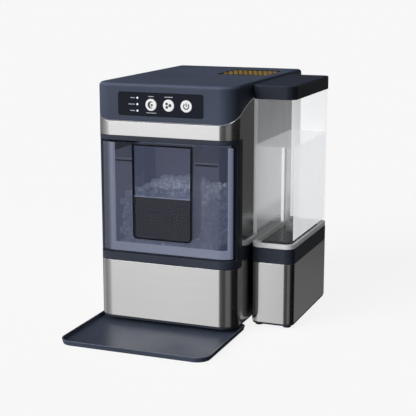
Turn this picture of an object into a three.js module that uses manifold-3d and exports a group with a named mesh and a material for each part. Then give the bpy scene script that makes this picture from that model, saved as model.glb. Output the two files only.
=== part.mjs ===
// Countertop nugget ice maker with a removable side water tank.
// Millimetres, +Z up, the front faces -Y. Sizes are given from the cabinet's front left corner on the counter,
// and the last group moves everything so that the origin is under the middle of the whole machine.
import * as THREE from "three";
import { mergeVertices } from "three/addons/utils/BufferGeometryUtils.js";
import Module from "manifold-3d";

const wasm = await Module();
wasm.setup();

// ---- driving dimensions ----
const WIDTH = 254; // cabinet
const DEPTH = 381;
const HEIGHT = 419;
const CORNER = 29; // upright front corners
const REAR_CORNER = 10;
const SHEET = 1.2; // stainless sheet
const GAP = 0.3; // between neighbours that touch

const SHELL_BOTTOM = 13.5;
const FRAME_BOTTOM = 113; // navy frame round the drawer opening
const OPENING_BOTTOM = 126.5;
const OPENING_TOP = 322.5;
const FRAME_TOP = 330.5;
const FRAME_DEPTH = 38; // how far the frame wraps round the sides
const FRAME_WALL = 12;
const OPENING_DEPTH = 18.5; // how far the opening wraps round the sides

const COVER_FRONT = 354.5; // lower edge of the top cover at the front
const COVER_SIDE = 394; // and on the sides, past the sweep
const SWEEP = 125; // length of the sweep between the two
const COVER_WALL = 2.5;
const COVER_FACE = 5; // thicker wall behind the control panel
const COVER_ROOF = 4;
const COVER_ROUND = 6;

const PANEL = { x0: 46, x1: 199, z0: 365, z1: 404.5, corner: 3, thick: 2 };
const BUTTON = { xs: [106, 137.5, 169], z: 384.5, radius: 10, play: 0.4 };
const LAMP = { x: 81, zs: [395.2, 384.5, 373.8], radius: 1.8 };
const VENT = { x0: 140, x1: 233, y0: 214, y1: 324, corner: 4, ledge: 4, hole: 8, pitch: 18 };

const DRAWER_GAP = 3; // dark line above and below the drawer
const WINDOW = 3.5; // smoked drawer front
const PULL = { top: [69, 178], bottom: [69.5, 175.5], z0: 154, lip: 228, z1: 317, depth: 48, wall: 2, corner: 7 };
const BIN = { x0: 17, x1: 237, y0: 17.5, y1: 195, z0: 132.2, z1: 297, wall: 2.5, front: 290 };
const BAR = { side: 14, bottom: 144, thick: 6.7 }; // clear bars round the window's inside
const LINER = { x0: 12.4, x1: 241.6, y0: 12.4, y1: 205, z0: 126.8, z1: 322.2, wall: 2 };

const TRAY = { x0: -5, x1: 259, y0: -142, y1: 48.5, lip: 8.6, floor: 1.8, wall: 2.4, front: 24, rear: 9 };
const FOOT_HEIGHT = 9;

const TANK = { x0: 257.3, x1: 333.3, y0: 70, y1: 285, front: 16, rear: 10 };
const TANK_LEVELS = { floor: 4.5, wrap: 8, collar: 114, rim: 140, glass: 148, lid: 393.5, top: 416.6 };

const AUGER_AXIS = { x: 85, y: 262 };
const TEETH = { gear: 40, pinion: 12, module: 1.25 };
const GEAR_LEVEL = { z0: 184, z1: 194 };
const FAN_AXIS = { x: 72, z: 100 };
const COMPRESSOR_AXIS = { x: 180, y: 300 };

const ORIGIN = { x: (TRAY.x0 + TANK.x1) / 2, y: (TRAY.y0 + DEPTH + 9) / 2 };

// ---- materials ----
const finish = (color, roughness, metalness, more = {}) =>
  new THREE.MeshStandardMaterial({ color, roughness, metalness, ...more });
const clear = (color, opacity) => finish(color, 0.08, 0, { transparent: true, opacity });
const NAVY = finish(0x323b4b, 0.45, 0);
const GLOSS_NAVY = finish(0x1b202c, 0.2, 0);
const STEEL = finish(0xb9b9b7, 0.3, 1);
const GALVANISED = finish(0x8c9093, 0.5, 0.9);
const BLACK = finish(0x15171b, 0.5, 0);
const RUBBER = finish(0x111214, 0.85, 0);
const WHITE = finish(0xf2f2f0, 0.35, 0);
const BRASS = finish(0xa57f2c, 0.4, 1);
const COPPER = finish(0xa8623a, 0.35, 1);
const GREY = finish(0x9c9a95, 0.45, 0);
const BOARD = finish(0x1e5a36, 0.55, 0);
const SMOKE = clear(0x3d4560, 0.5);
const CLEAR = clear(0xeef2f4, 0.25);

// ---- solids ----
const ARC = 5; // segments in a quarter circle
const ROUND = 16; // segments in a full turn

function toSolid(geometry) {
  const bare = geometry.index ? geometry.toNonIndexed() : geometry.clone();
  for (const name of Object.keys(bare.attributes)) {
    if (name !== "position") bare.deleteAttribute(name);
  }
  const merged = mergeVertices(bare, 1e-4);
  return new wasm.Manifold(
    new wasm.Mesh({
      numProp: 3,
      vertProperties: merged.attributes.position.array,
      triVerts: new Uint32Array(merged.index.array),
    }),
  );
}

function toGeometry(solid) {
  const mesh = solid.getMesh();
  const points = new Float32Array(mesh.numVert * 3);
  for (let i = 0; i < mesh.numVert; i++) {
    points.set(mesh.vertProperties.subarray(i * mesh.numProp, i * mesh.numProp + 3), i * 3);
  }
  const geometry = new THREE.BufferGeometry();
  geometry.setAttribute("position", new THREE.BufferAttribute(points, 3));
  geometry.setIndex(new THREE.BufferAttribute(mesh.triVerts, 1));
  geometry.computeVertexNormals();
  return geometry;
}

const combine = (how) => (first, ...others) =>
  toGeometry(others.reduce((solid, other) => solid[how](toSolid(other)), toSolid(first)));
const cut = combine("subtract");
const join = combine("add");
const common = combine("intersect");

// ---- outlines ----
// A rectangle with its own radius at the low-y and high-y ends.
function outline(x0, y0, x1, y1, low, high = low) {
  const shape = new THREE.Shape();
  shape.moveTo(x0 + low, y0);
  shape.lineTo(x1 - low, y0);
  shape.absarc(x1 - low, y0 + low, low, -Math.PI / 2, 0);
  shape.lineTo(x1, y1 - high);
  shape.absarc(x1 - high, y1 - high, high, 0, Math.PI / 2);
  shape.lineTo(x0 + high, y1);
  shape.absarc(x0 + high, y1 - high, high, Math.PI / 2, Math.PI);
  shape.lineTo(x0, y0 + low);
  shape.absarc(x0 + low, y0 + low, low, Math.PI, 1.5 * Math.PI);
  return shape;
}

const cabinetOutline = (inset) =>
  outline(inset, inset, WIDTH - inset, DEPTH - inset, CORNER - inset, Math.max(REAR_CORNER - inset, 1));
const tankOutline = (inset) =>
  outline(
    TANK.x0 + inset,
    TANK.y0 + inset,
    TANK.x1 - inset,
    TANK.y1 - inset,
    Math.max(TANK.front - inset, 1),
    Math.max(TANK.rear - inset, 1),
  );

function polygon(points) {
  return new THREE.Shape(points.map(([x, y]) => new THREE.Vector2(x, y)));
}

function circle(x, y, radius, sides = ROUND) {
  const turn = (2 * Math.PI) / sides;
  return polygon(
    Array.from({ length: sides }, (_, i) => [x + radius * Math.cos(i * turn), y + radius * Math.sin(i * turn)]),
  );
}

// ---- extrusions: a plan outline upwards, a front view backwards, a side view to the right ----
function extrude(shape, depth) {
  return new THREE.ExtrudeGeometry(shape, { depth, bevelEnabled: false, curveSegments: ARC });
}
const slab = (shape, z0, z1) => extrude(shape, z1 - z0).translate(0, 0, z0);
const plate = (shape, y0, y1) =>
  extrude(shape, y1 - y0)
    .rotateX(Math.PI / 2)
    .translate(0, y1, 0);
const SIDE_VIEW = new THREE.Matrix4().makeBasis(
  new THREE.Vector3(0, 1, 0),
  new THREE.Vector3(0, 0, 1),
  new THREE.Vector3(1, 0, 0),
);
const profile = (shape, x0, x1) =>
  extrude(shape, x1 - x0)
    .applyMatrix4(SIDE_VIEW)
    .translate(x0, 0, 0);
const block = (x0, y0, z0, x1, y1, z1) =>
  new THREE.BoxGeometry(x1 - x0, y1 - y0, z1 - z0).translate((x0 + x1) / 2, (y0 + y1) / 2, (z0 + z1) / 2);

// A solid of revolution about +Z through (x, y) from [radius, z] pairs, lowest first.
function turned(x, y, pairs, sides = ROUND) {
  const closed = [[0, pairs[0][1]], ...pairs, [0, pairs[pairs.length - 1][1]]];
  return new THREE.LatheGeometry(
    closed.map(([r, z]) => new THREE.Vector2(r, z)),
    sides,
  )
    .rotateX(Math.PI / 2)
    .translate(x, y, 0);
}
// The same about +Y through (x, z), from [radius, y] pairs, nearest the front first.
const turnedBack = (x, z, pairs, sides = ROUND) =>
  turned(0, 0, pairs, sides)
    .rotateX(-Math.PI / 2)
    .translate(x, 0, z);

// A plan slab whose upper edge is rounded over.
function roundedTop(x0, y0, x1, y1, low, high, z0, z1, radius) {
  const steps = 3;
  const inner = outline(x0 + radius, y0 + radius, x1 - radius, y1 - radius, low - radius, Math.max(high - radius, 1));
  const body = new THREE.ExtrudeGeometry(inner, {
    depth: z1 - z0,
    bevelThickness: radius,
    bevelSize: radius,
    bevelSegments: steps,
    curveSegments: ARC,
  }).translate(0, 0, z0 - radius);
  return cut(body, block(x0 - 9, y0 - 9, z0 - radius - 9, x1 + 9, y1 + 9, z0));
}

const cabinet = new THREE.Group();
const drawer = new THREE.Group();
const tank = new THREE.Group();

function add(group, name, geometry, material) {
  const mesh = new THREE.Mesh(geometry, material);
  mesh.name = name;
  group.add(mesh);
  return mesh;
}

// ---- cabinet ----
// Height of the seam between the steel and the top cover, a parabola from the front to the level sides.
const seamHeight = (y) =>
  y >= SWEEP ? COVER_SIDE : COVER_SIDE - (COVER_SIDE - COVER_FRONT) * (1 - Math.max(y, 0) / SWEEP) ** 2;

// Everything above the seam (or below it), as a side-view block right across the cabinet.
function seamBlock(above, shift) {
  const steps = 10;
  const points = [[-9, COVER_FRONT + shift]];
  for (let i = 0; i <= steps; i++) {
    const y = (SWEEP * i) / steps;
    points.push([y, seamHeight(y) + shift]);
  }
  points.push([DEPTH + 9, COVER_SIDE + shift]);
  points.push([DEPTH + 9, above ? HEIGHT + 40 : 0], [-9, above ? HEIGHT + 40 : 0]);
  return profile(polygon(above ? points : points.reverse()), -9, WIDTH + 9);
}

const COUPLING = { y: 250, z: 60, radius: 7 };

function outerShell() {
  const wrap = cut(slab(cabinetOutline(0), SHELL_BOTTOM, HEIGHT - 9), slab(cabinetOutline(SHEET), 0, HEIGHT));
  const opening = block(-9, -9, FRAME_BOTTOM - GAP, WIDTH + 9, FRAME_DEPTH, FRAME_TOP + GAP);
  const back = block(14, DEPTH - 6, 0, WIDTH - 14, DEPTH + 6, HEIGHT);
  const port = profile(circle(COUPLING.y, COUPLING.z, COUPLING.radius + GAP, 16), WIDTH - 5, WIDTH + 5);
  return cut(wrap, opening, back, seamBlock(true, 0), port);
}

function topCover() {
  const outer = roundedTop(0, 0, WIDTH, DEPTH, CORNER, REAR_CORNER, COVER_FRONT, HEIGHT, COVER_ROUND);
  const hollow = slab(
    outline(COVER_WALL, COVER_FACE, WIDTH - COVER_WALL, DEPTH - COVER_WALL, CORNER - COVER_FACE, REAR_CORNER - COVER_WALL),
    0,
    HEIGHT - COVER_ROOF,
  );
  const recess = plate(
    outline(PANEL.x0, PANEL.z0, PANEL.x1, PANEL.z1, PANEL.corner),
    -9,
    PANEL.thick + GAP,
  );
  const buttons = BUTTON.xs.map((x) => plate(circle(x, BUTTON.z, BUTTON.radius + BUTTON.play), -9, COVER_FACE + 1));
  const lamps = LAMP.zs.map((z) => plate(circle(LAMP.x, z, LAMP.radius + GAP, 10), -9, COVER_FACE + 1));
  const well = slab(outline(VENT.x0, VENT.y0, VENT.x1, VENT.y1, VENT.corner), HEIGHT - 2.8, HEIGHT + 9);
  const duct = block(
    VENT.x0 + VENT.ledge,
    VENT.y0 + VENT.ledge,
    HEIGHT - 20,
    VENT.x1 - VENT.ledge,
    VENT.y1 - VENT.ledge,
    HEIGHT + 9,
  );
  return cut(outer, hollow, seamBlock(false, GAP), recess, ...buttons, ...lamps, well, duct);
}

// Hexagonal holes in staggered rows, inside the vent's ledge.
function hexagonHoles(z0, z1) {
  const holes = [];
  const rowStep = VENT.pitch * Math.cos(Math.PI / 6);
  const middle = { x: (VENT.x0 + VENT.x1) / 2, y: (VENT.y0 + VENT.y1) / 2 };
  for (let row = -2; row <= 2; row++) {
    const shift = row % 2 ? 0.5 : 0;
    for (let column = -2; column <= 2 - 2 * shift; column++) {
      const x = middle.x + (column + shift) * VENT.pitch;
      holes.push(slab(circle(x, middle.y + row * rowStep, VENT.hole, 6), z0, z1));
    }
  }
  return holes;
}

function ventGrille() {
  const top = HEIGHT - 0.4;
  const sheet = slab(
    outline(VENT.x0 + GAP, VENT.y0 + GAP, VENT.x1 - GAP, VENT.y1 - GAP, VENT.corner - GAP),
    top - 1.5,
    top,
  );
  return cut(sheet, ...hexagonHoles(top - 9, top + 9));
}

function ventScreen() {
  const top = HEIGHT - 2.1;
  return slab(outline(VENT.x0 + GAP, VENT.y0 + GAP, VENT.x1 - GAP, VENT.y1 - GAP, VENT.corner - GAP), top - 0.5, top);
}

function controlPanel() {
  const inset = 0.25;
  const face = plate(
    outline(PANEL.x0 + inset, PANEL.z0 + inset, PANEL.x1 - inset, PANEL.z1 - inset, PANEL.corner - inset),
    0,
    PANEL.thick,
  );
  const buttons = BUTTON.xs.map((x) => plate(circle(x, BUTTON.z, BUTTON.radius + BUTTON.play), -9, 9));
  const lamps = LAMP.zs.map((z) => plate(circle(LAMP.x, z, LAMP.radius + GAP, 10), -9, 9));
  return cut(face, ...buttons, ...lamps);
}

// A cap with a flange behind the cover that keeps it in its hole.
const buttonCap = (x) =>
  turnedBack(x, BUTTON.z, [
    [BUTTON.radius - 1, -0.9],
    [BUTTON.radius, -0.3],
    [BUTTON.radius, COVER_FACE + GAP],
    [BUTTON.radius + 2, COVER_FACE + GAP],
    [BUTTON.radius + 2, COVER_FACE + 2],
  ]);

function drawerFrame() {
  const ring = cut(slab(cabinetOutline(0), FRAME_BOTTOM, FRAME_TOP), slab(cabinetOutline(FRAME_WALL), 0, HEIGHT));
  const front = block(-9, -9, 0, WIDTH + 9, FRAME_DEPTH - GAP, HEIGHT);
  const opening = block(-9, -9, OPENING_BOTTOM, WIDTH + 9, OPENING_DEPTH, OPENING_TOP);
  return cut(common(ring, front), opening);
}

function binLiner() {
  const { x0, x1, y0, y1, z0, z1, wall } = LINER;
  const box = cut(
    slab(outline(x0, y0, x1, y1, CORNER - y0, 1), z0, z1),
    block(x0 + wall, y0 - 9, z0 + wall, x1 - wall, y1 - wall, z1 - wall),
  );
  const chute = block(AUGER_AXIS.x - 26, 150, z1 - 9, AUGER_AXIS.x + 26, 190, z1 + 9);
  return cut(box, chute);
}

function basePan() {
  const pan = join(
    slab(cabinetOutline(1.5), FOOT_HEIGHT + GAP, SHELL_BOTTOM - GAP),
    slab(cabinetOutline(1.8), SHELL_BOTTOM - 1, SHELL_BOTTOM + 4),
  );
  return cut(pan, slab(cabinetOutline(6), FOOT_HEIGHT + 3, HEIGHT));
}

function rearPanel() {
  const sheet = plate(outline(12, SHELL_BOTTOM + 5, WIDTH - 12, COVER_SIDE - 1, 2), DEPTH - 4.2, DEPTH - 2);
  const louvres = [];
  for (let row = 0; row < 9; row++) {
    louvres.push(block(26, DEPTH - 9, 44 + row * 14, 128, DEPTH + 9, 50 + row * 14));
  }
  for (let row = 0; row < 5; row++) {
    louvres.push(block(60, DEPTH - 9, 250 + row * 14, 194, DEPTH + 9, 256 + row * 14));
  }
  const inlet = block(188, DEPTH - 9, 48, 222, DEPTH + 9, 72);
  const drain = plate(circle(158, 60, 9, 16), DEPTH - 9, DEPTH + 9);
  return cut(sheet, ...louvres, inlet, drain);
}

// A recessed mains inlet with three flat pins at the bottom of its socket.
function powerInlet() {
  const body = join(
    plate(outline(185, 45, 225, 75, 3), DEPTH - 1.7, DEPTH + 1),
    block(188.3, DEPTH - 22, 48.3, 221.7, DEPTH, 71.7),
  );
  const socket = block(192, DEPTH - 18, 52, 218, DEPTH + 9, 68);
  const pins = [198, 205, 212].map((x) => block(x - 1, DEPTH - 19, 58, x + 1, DEPTH - 4, 62));
  return join(cut(body, socket), ...pins);
}

const foot = (x, y) =>
  turned(x, y, [
    [9, 0],
    [11, 1.5],
    [12, FOOT_HEIGHT],
  ]);
const screw = (x, z) =>
  turnedBack(
    x,
    z,
    [
      [2, DEPTH - 12],
      [2, DEPTH - 1.7],
      [4, DEPTH - 1.7],
      [4, DEPTH - 0.6],
      [2.6, DEPTH + 0.3],
    ],
    12,
  );

add(cabinet, "outer_shell", outerShell(), STEEL);
add(cabinet, "top_cover", topCover(), NAVY);
add(cabinet, "vent_grille", ventGrille(), NAVY);
add(cabinet, "vent_screen", ventScreen(), BRASS);
add(cabinet, "control_panel", controlPanel(), GLOSS_NAVY);
add(cabinet, "light_button", buttonCap(BUTTON.xs[0]), WHITE);
add(cabinet, "clean_button", buttonCap(BUTTON.xs[1]), WHITE);
add(cabinet, "power_button", buttonCap(BUTTON.xs[2]), WHITE);
for (const [i, z] of LAMP.zs.entries()) {
  add(cabinet, `indicator_${i + 1}`, plate(circle(LAMP.x, z, LAMP.radius, 10), 0, COVER_FACE + 1), WHITE);
}
add(cabinet, "display_board", block(50, 10, 368, 195, 11.6, 402), BOARD);
add(cabinet, "drawer_frame", drawerFrame(), NAVY);
add(cabinet, "bin_liner", binLiner(), BLACK);
for (const [side, x] of [
  ["left", 22],
  ["right", 224],
]) {
  add(cabinet, `drawer_rail_${side}`, block(x, 40, LINER.z0 + LINER.wall + GAP, x + 8, 200, BIN.z0 - GAP), GREY);
}
add(cabinet, "base_pan", basePan(), NAVY);
for (const [place, x, y] of [
  ["front_left", 36, 76],
  ["front_right", 218, 76],
  ["rear_left", 36, 348],
  ["rear_right", 218, 348],
]) {
  add(cabinet, `foot_${place}`, foot(x, y), RUBBER);
}
add(cabinet, "rear_panel", rearPanel(), BLACK);
for (const [i, [x, z]] of [
  [22, 30],
  [232, 30],
  [22, 380],
  [232, 380],
].entries()) {
  const hole = plate(circle(x, z, 2 + GAP, 12), DEPTH - 9, DEPTH + 9);
  const panel = cabinet.getObjectByName("rear_panel");
  panel.geometry = cut(panel.geometry, hole);
  add(cabinet, `rear_screw_${i + 1}`, screw(x, z), GALVANISED);
}
add(cabinet, "power_inlet", powerInlet(), BLACK);
add(
  cabinet,
  "drain_cap",
  turnedBack(158, 60, [
    [7, DEPTH - 14],
    [8, DEPTH - 12],
    [8, DEPTH - 1.7],
    [12, DEPTH - 1.7],
    [12, DEPTH + 7],
    [10, DEPTH + 9],
  ]),
  RUBBER,
);

// ---- ice making machinery ----
// One turn's worth of outline points for a spur gear with straight flanks.
function gear(x, y, teeth, bore) {
  const pitchRadius = (TEETH.module * teeth) / 2;
  const rootRadius = pitchRadius - 1.15 * TEETH.module;
  const tipRadius = pitchRadius + 0.8 * TEETH.module;
  const pitch = (2 * Math.PI) / teeth;
  const points = [];
  for (let i = 0; i < teeth; i++) {
    for (const [radius, share] of [
      [rootRadius, -0.27],
      [tipRadius, -0.11],
      [tipRadius, 0.11],
      [rootRadius, 0.27],
    ]) {
      const angle = (i + share) * pitch;
      points.push([x + radius * Math.cos(angle), y + radius * Math.sin(angle)]);
    }
  }
  const wheel = polygon(points);
  wheel.holes.push(circle(x, y, bore, 12));
  return slab(wheel, GEAR_LEVEL.z0, GEAR_LEVEL.z1);
}

const PINION_AXIS = { x: AUGER_AXIS.x + (TEETH.module * (TEETH.gear + TEETH.pinion)) / 2, y: AUGER_AXIS.y };

// A helical blade of rectangular section about +Z through the origin.
function flight(inner, outer, thick, z0, z1, turns) {
  const steps = turns * 10;
  const points = [];
  const faces = [];
  for (let i = 0; i <= steps; i++) {
    const angle = (2 * Math.PI * turns * i) / steps;
    const z = z0 + ((z1 - z0) * i) / steps;
    for (const [radius, lift] of [
      [inner, -thick / 2],
      [outer, -thick / 2],
      [outer, thick / 2],
      [inner, thick / 2],
    ]) {
      points.push(radius * Math.cos(angle), radius * Math.sin(angle), z + lift);
    }
    for (let k = 0; k < 4 && i < steps; k++) {
      const [a, b] = [4 * i + k, 4 * i + ((k + 1) % 4)];
      faces.push(a, b, b + 4, a, b + 4, a + 4);
    }
  }
  const last = 4 * steps;
  faces.push(0, 2, 1, 0, 3, 2, last, last + 1, last + 2, last, last + 2, last + 3);
  const geometry = new THREE.BufferGeometry();
  geometry.setAttribute("position", new THREE.Float32BufferAttribute(points, 3));
  geometry.setIndex(faces);
  return toSolid(geometry).volume() > 0 ? geometry : geometry.setIndex(faces.reverse());
}

function auger() {
  const { x, y } = AUGER_AXIS;
  const shaft = turned(x, y, [
    [6, 174],
    [6, 213],
    [10, 215],
    [10, 324],
    [5, 330],
    [5, 338],
  ]);
  return join(shaft, flight(9, 22.6, 3, 215, 319, 4).translate(x, y, 0));
}

class Helix extends THREE.Curve {
  getPoint(t, target = new THREE.Vector3()) {
    const turns = 5;
    const angle = 2 * Math.PI * turns * t;
    return target.set(
      AUGER_AXIS.x + 34.5 * Math.cos(angle),
      AUGER_AXIS.y + 34.5 * Math.sin(angle),
      216 + 96 * t,
    );
  }
}

function evaporatorCoil() {
  return new THREE.ExtrudeGeometry(circle(0, 0, 3.2, 6), { steps: 60, extrudePath: new Helix(), bevelEnabled: false });
}

function barrel() {
  const { x, y } = AUGER_AXIS;
  return cut(slab(circle(x, y, 30), 207, 328), slab(circle(x, y, 24), 212, HEIGHT), slab(circle(x, y, 6.4), 0, HEIGHT));
}

// Caps the barrel and turns the pressed ice towards the drawer.
function extrusionHead() {
  const { x, y } = AUGER_AXIS;
  const body = join(slab(circle(x, y, 32), 328.4, 352), block(x - 22, y - 62, 330, x + 22, y, 350));
  return cut(
    body,
    slab(circle(x, y, 23), 0, 346),
    block(x - 18, y - 99, 334, x + 18, y, 346),
  );
}

// A sloping spout from the head down through the liner's roof.
function iceChute() {
  const { x, y } = AUGER_AXIS;
  const end = y - 62.4;
  const spout = (inset) =>
    polygon([
      [end, 328 + inset],
      [end, 352 - inset],
      [end - 24, 352 - inset],
      [end - 44 + inset, 334],
      [end - 44 + inset, 318],
      [end - 14 - inset, 318],
      [end - 14 - inset, 328 + inset],
    ]);
  const hollow = profile(spout(2), x - 20, x + 20);
  const mouth = block(x - 20, end - 2, 332, x + 20, end + 9, 348);
  const outlet = block(x - 20, end - 40, 300, x + 20, end - 18, 330);
  return cut(profile(spout(0), x - 23, x + 23), hollow, mouth, outlet);
}

function gearboxCase() {
  const { x, y } = AUGER_AXIS;
  const box = cut(
    slab(outline(x - 34, y - 34, PINION_AXIS.x + 18, y + 34, 8), 178, 206),
    slab(outline(x - 31, y - 31, PINION_AXIS.x + 15, y + 31, 6), 181, 203),
  );
  // An assembly window in the front wall keeps the case open to the outside.
  const window = block(x - 12, y - 40, 186, x + 12, y - 20, 198);
  return cut(box, slab(circle(x, y, 6.4), 0, HEIGHT), slab(circle(PINION_AXIS.x, y, 3.4, 12), 0, 190), window);
}

function gearMotor() {
  return turned(PINION_AXIS.x, PINION_AXIS.y, [
    [20, 118],
    [22, 120],
    [22, 177.6],
    [9, 177.6],
  ]);
}

function compressor() {
  const { x, y } = COMPRESSOR_AXIS;
  const can = turned(x, y, [
    [38, 30],
    [48, 42],
    [50, 66],
    [50, 112],
    [46, 134],
    [32, 148],
    [12, 152],
  ]);
  return join(can, slab(outline(x - 60, y - 42, x + 60, y + 42, 10), 28, 31));
}

function compressorBracket() {
  const { x, y } = COMPRESSOR_AXIS;
  const posts = [
    [-50, -33],
    [50, -33],
    [-50, 33],
    [50, 33],
  ].map(([dx, dy]) => slab(circle(x + dx, y + dy, 7, 12), 17, 27.6));
  return join(slab(outline(x - 62, y - 44, x + 62, y + 44, 6), 15, 18), ...posts);
}

// Upright fins joined by a thin back, seen from above.
function condenser() {
  const fins = 18;
  const pitch = 5.6;
  const points = [[22, 366]];
  for (let i = 0; i < fins; i++) {
    const x = 22 + i * pitch;
    points.push([x, 342], [x + 1.6, 342], [x + 1.6, 364], [x + pitch, 364]);
  }
  points.push([22 + fins * pitch, 366]);
  return slab(polygon(points), 34, 176);
}

function fanShroud() {
  const { x, z } = FAN_AXIS;
  const ring = cut(
    join(plate(outline(x - 48, z - 48, x + 48, z + 48, 6), 332, 335), plate(circle(x, z, 44, 24), 318, 335)),
    plate(circle(x, z, 41, 24), 0, DEPTH),
  );
  const spokes = [0, Math.PI / 2].map((turn) =>
    block(-43, 314, -3, 43, 318.5, 3)
      .rotateY(turn)
      .translate(x, 0, z),
  );
  return cut(join(ring, ...spokes), plate(circle(x, z, 3.2, 12), 0, DEPTH));
}

function fanRotor() {
  const { x, z } = FAN_AXIS;
  const blades = [];
  for (let i = 0; i < 5; i++) {
    blades.push(
      new THREE.BoxGeometry(12, 1.6, 29)
        .rotateZ(0.5)
        .translate(0, 326, 23.5)
        .rotateY((2 * Math.PI * i) / 5),
    );
  }
  return join(
    plate(circle(0, 0, 12, 16), 320, 331),
    plate(circle(0, 0, 2.6, 12), 308.6, 325),
    ...blades,
  ).translate(x, 0, z);
}

function reservoir() {
  return cut(
    slab(outline(150, 212, 240, 300, 8), 206, 320),
    slab(outline(152.5, 214.5, 237.5, 297.5, 6), 208.5, HEIGHT),
  );
}

function mainBoard() {
  const parts = [
    block(30, 60, 341, 62, 90, 352),
    block(70, 62, 341, 94, 80, 356),
    block(30, 110, 341, 50, 140, 350),
    slab(circle(100, 120, 8, 12), 341, 362),
  ];
  return join(block(20, 48, 340, 120, 148, 341.6), ...parts);
}

add(cabinet, "auger", auger(), GALVANISED);
add(cabinet, "drive_gear", gear(AUGER_AXIS.x, AUGER_AXIS.y, TEETH.gear, 6.3), GREY);
add(cabinet, "auger_barrel", barrel(), STEEL);
add(cabinet, "evaporator_coil", evaporatorCoil(), COPPER);
add(cabinet, "extrusion_head", extrusionHead(), GREY);
add(cabinet, "ice_chute", iceChute(), GREY);
add(cabinet, "gearbox_case", gearboxCase(), GALVANISED);
const pinion = join(
  gear(0, 0, TEETH.pinion, 2)
    .rotateZ(Math.PI / TEETH.pinion)
    .translate(PINION_AXIS.x, PINION_AXIS.y, 0),
  slab(circle(PINION_AXIS.x, PINION_AXIS.y, 3, 12), 178, GEAR_LEVEL.z1),
);
add(cabinet, "motor_pinion", pinion, GALVANISED);
add(cabinet, "gear_motor", gearMotor(), BLACK);
add(cabinet, "compressor", compressor(), BLACK);
add(cabinet, "compressor_bracket", compressorBracket(), GALVANISED);
add(cabinet, "condenser", condenser(), GALVANISED);
add(cabinet, "fan_shroud", fanShroud(), BLACK);
add(
  cabinet,
  "fan_motor",
  turnedBack(FAN_AXIS.x, FAN_AXIS.z, [
    [14, 290],
    [17, 293],
    [17, 308],
    [4, 308],
  ]),
  BLACK,
);
add(cabinet, "fan_rotor", fanRotor(), GREY);
add(cabinet, "reservoir", reservoir(), WHITE);
add(cabinet, "main_board", mainBoard(), BOARD);
add(cabinet, "led_strip", block(60, 56, 317, 194, 62, 319.9), WHITE);

// ---- drawer ----
// Front view of the finger pull, narrower at the bottom, with rounded lower corners.
function pullOutline(inset, z0, z1) {
  const share = (z) => (z - PULL.z0) / (PULL.z1 - PULL.z0);
  const left = (z) => PULL.bottom[0] + (PULL.top[0] - PULL.bottom[0]) * share(z) + inset;
  const right = (z) => PULL.bottom[1] + (PULL.top[1] - PULL.bottom[1]) * share(z) - inset;
  const radius = Math.max(PULL.corner - inset, 1);
  const shape = new THREE.Shape();
  shape.moveTo(left(z1), z1);
  shape.lineTo(left(z0 + radius), z0 + radius);
  shape.quadraticCurveTo(left(z0), z0, left(z0) + radius, z0);
  shape.lineTo(right(z0) - radius, z0);
  shape.quadraticCurveTo(right(z0), z0, right(z0 + radius), z0 + radius);
  shape.lineTo(right(z1), z1);
  return shape;
}

// The part of a band just inside the cabinet's outline that the drawer's front can use.
function frontBand(inset, thick, z0, z1, depth) {
  const ring = cut(slab(cabinetOutline(inset), z0, z1), slab(cabinetOutline(inset + thick), 0, HEIGHT));
  return common(ring, block(-9, -9, 0, WIDTH + 9, depth, HEIGHT));
}

function drawerFront() {
  const sheet = frontBand(
    0.4,
    WINDOW,
    OPENING_BOTTOM + DRAWER_GAP,
    OPENING_TOP - DRAWER_GAP,
    OPENING_DEPTH - 1,
  );
  return cut(sheet, plate(pullOutline(PULL.wall + 1, PULL.lip, PULL.z1 - PULL.wall), -9, 9));
}

function pullPocket() {
  const front = 0.4 + WINDOW + GAP;
  return cut(
    plate(pullOutline(0, PULL.z0, PULL.z1), front, PULL.depth),
    plate(pullOutline(PULL.wall, PULL.z0 + PULL.wall, PULL.z1 - PULL.wall), -9, PULL.depth - PULL.wall),
  );
}

function binFrame() {
  const band = frontBand(
    0.4 + WINDOW + GAP,
    BAR.thick,
    OPENING_BOTTOM + DRAWER_GAP + 0.6,
    PULL.z1,
    OPENING_DEPTH - 1.3,
  );
  return cut(band, block(BAR.side, -9, BAR.bottom, WIDTH - BAR.side, 40, HEIGHT));
}

function iceBin() {
  const { x0, x1, y0, y1, z0, z1, wall, front } = BIN;
  const corner = 12;
  const box = join(
    slab(outline(x0, y0, x1, y1, 1, corner), z0, z1),
    slab(outline(x0 - 1, 22, x1 + 1, y1 + 2.2, 1, corner), z1 - 4, z1),
  );
  const tub = cut(box, slab(outline(x0 + wall, y0 - 20, x1 - wall, y1 - wall, 1, corner - wall), z0 + wall, HEIGHT));
  const face = cut(
    plate(outline(33, z0, WIDTH - 33, front, 3), 11.4, 11.4 + wall),
    plate(pullOutline(-GAP, PULL.z0 - GAP, HEIGHT), 0, y1),
  );
  return join(tub, block(33, 11.4, z0, WIDTH - 33, y0 + 1, z0 + wall), face);
}

add(drawer, "drawer_front", drawerFront(), SMOKE);
add(drawer, "pull_pocket", pullPocket(), SMOKE);
add(drawer, "bin_frame", binFrame(), SMOKE);
add(drawer, "ice_bin", iceBin(), SMOKE);

// ---- drip tray ----
function dripTray() {
  const { x0, x1, y0, y1, lip, floor, wall, front, rear } = TRAY;
  return cut(
    slab(outline(x0, y0, x1, y1, front, rear), 0, lip),
    slab(outline(x0 + wall, y0 + wall, x1 - wall, y1 - wall, front - wall, rear - wall), floor, HEIGHT),
  );
}
add(drawer, "drip_tray", dripTray(), NAVY);

// ---- side tank and its base ----
const tankMiddle = { x: (TANK.x0 + TANK.x1) / 2, y: (TANK.y0 + TANK.y1) / 2 };

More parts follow.
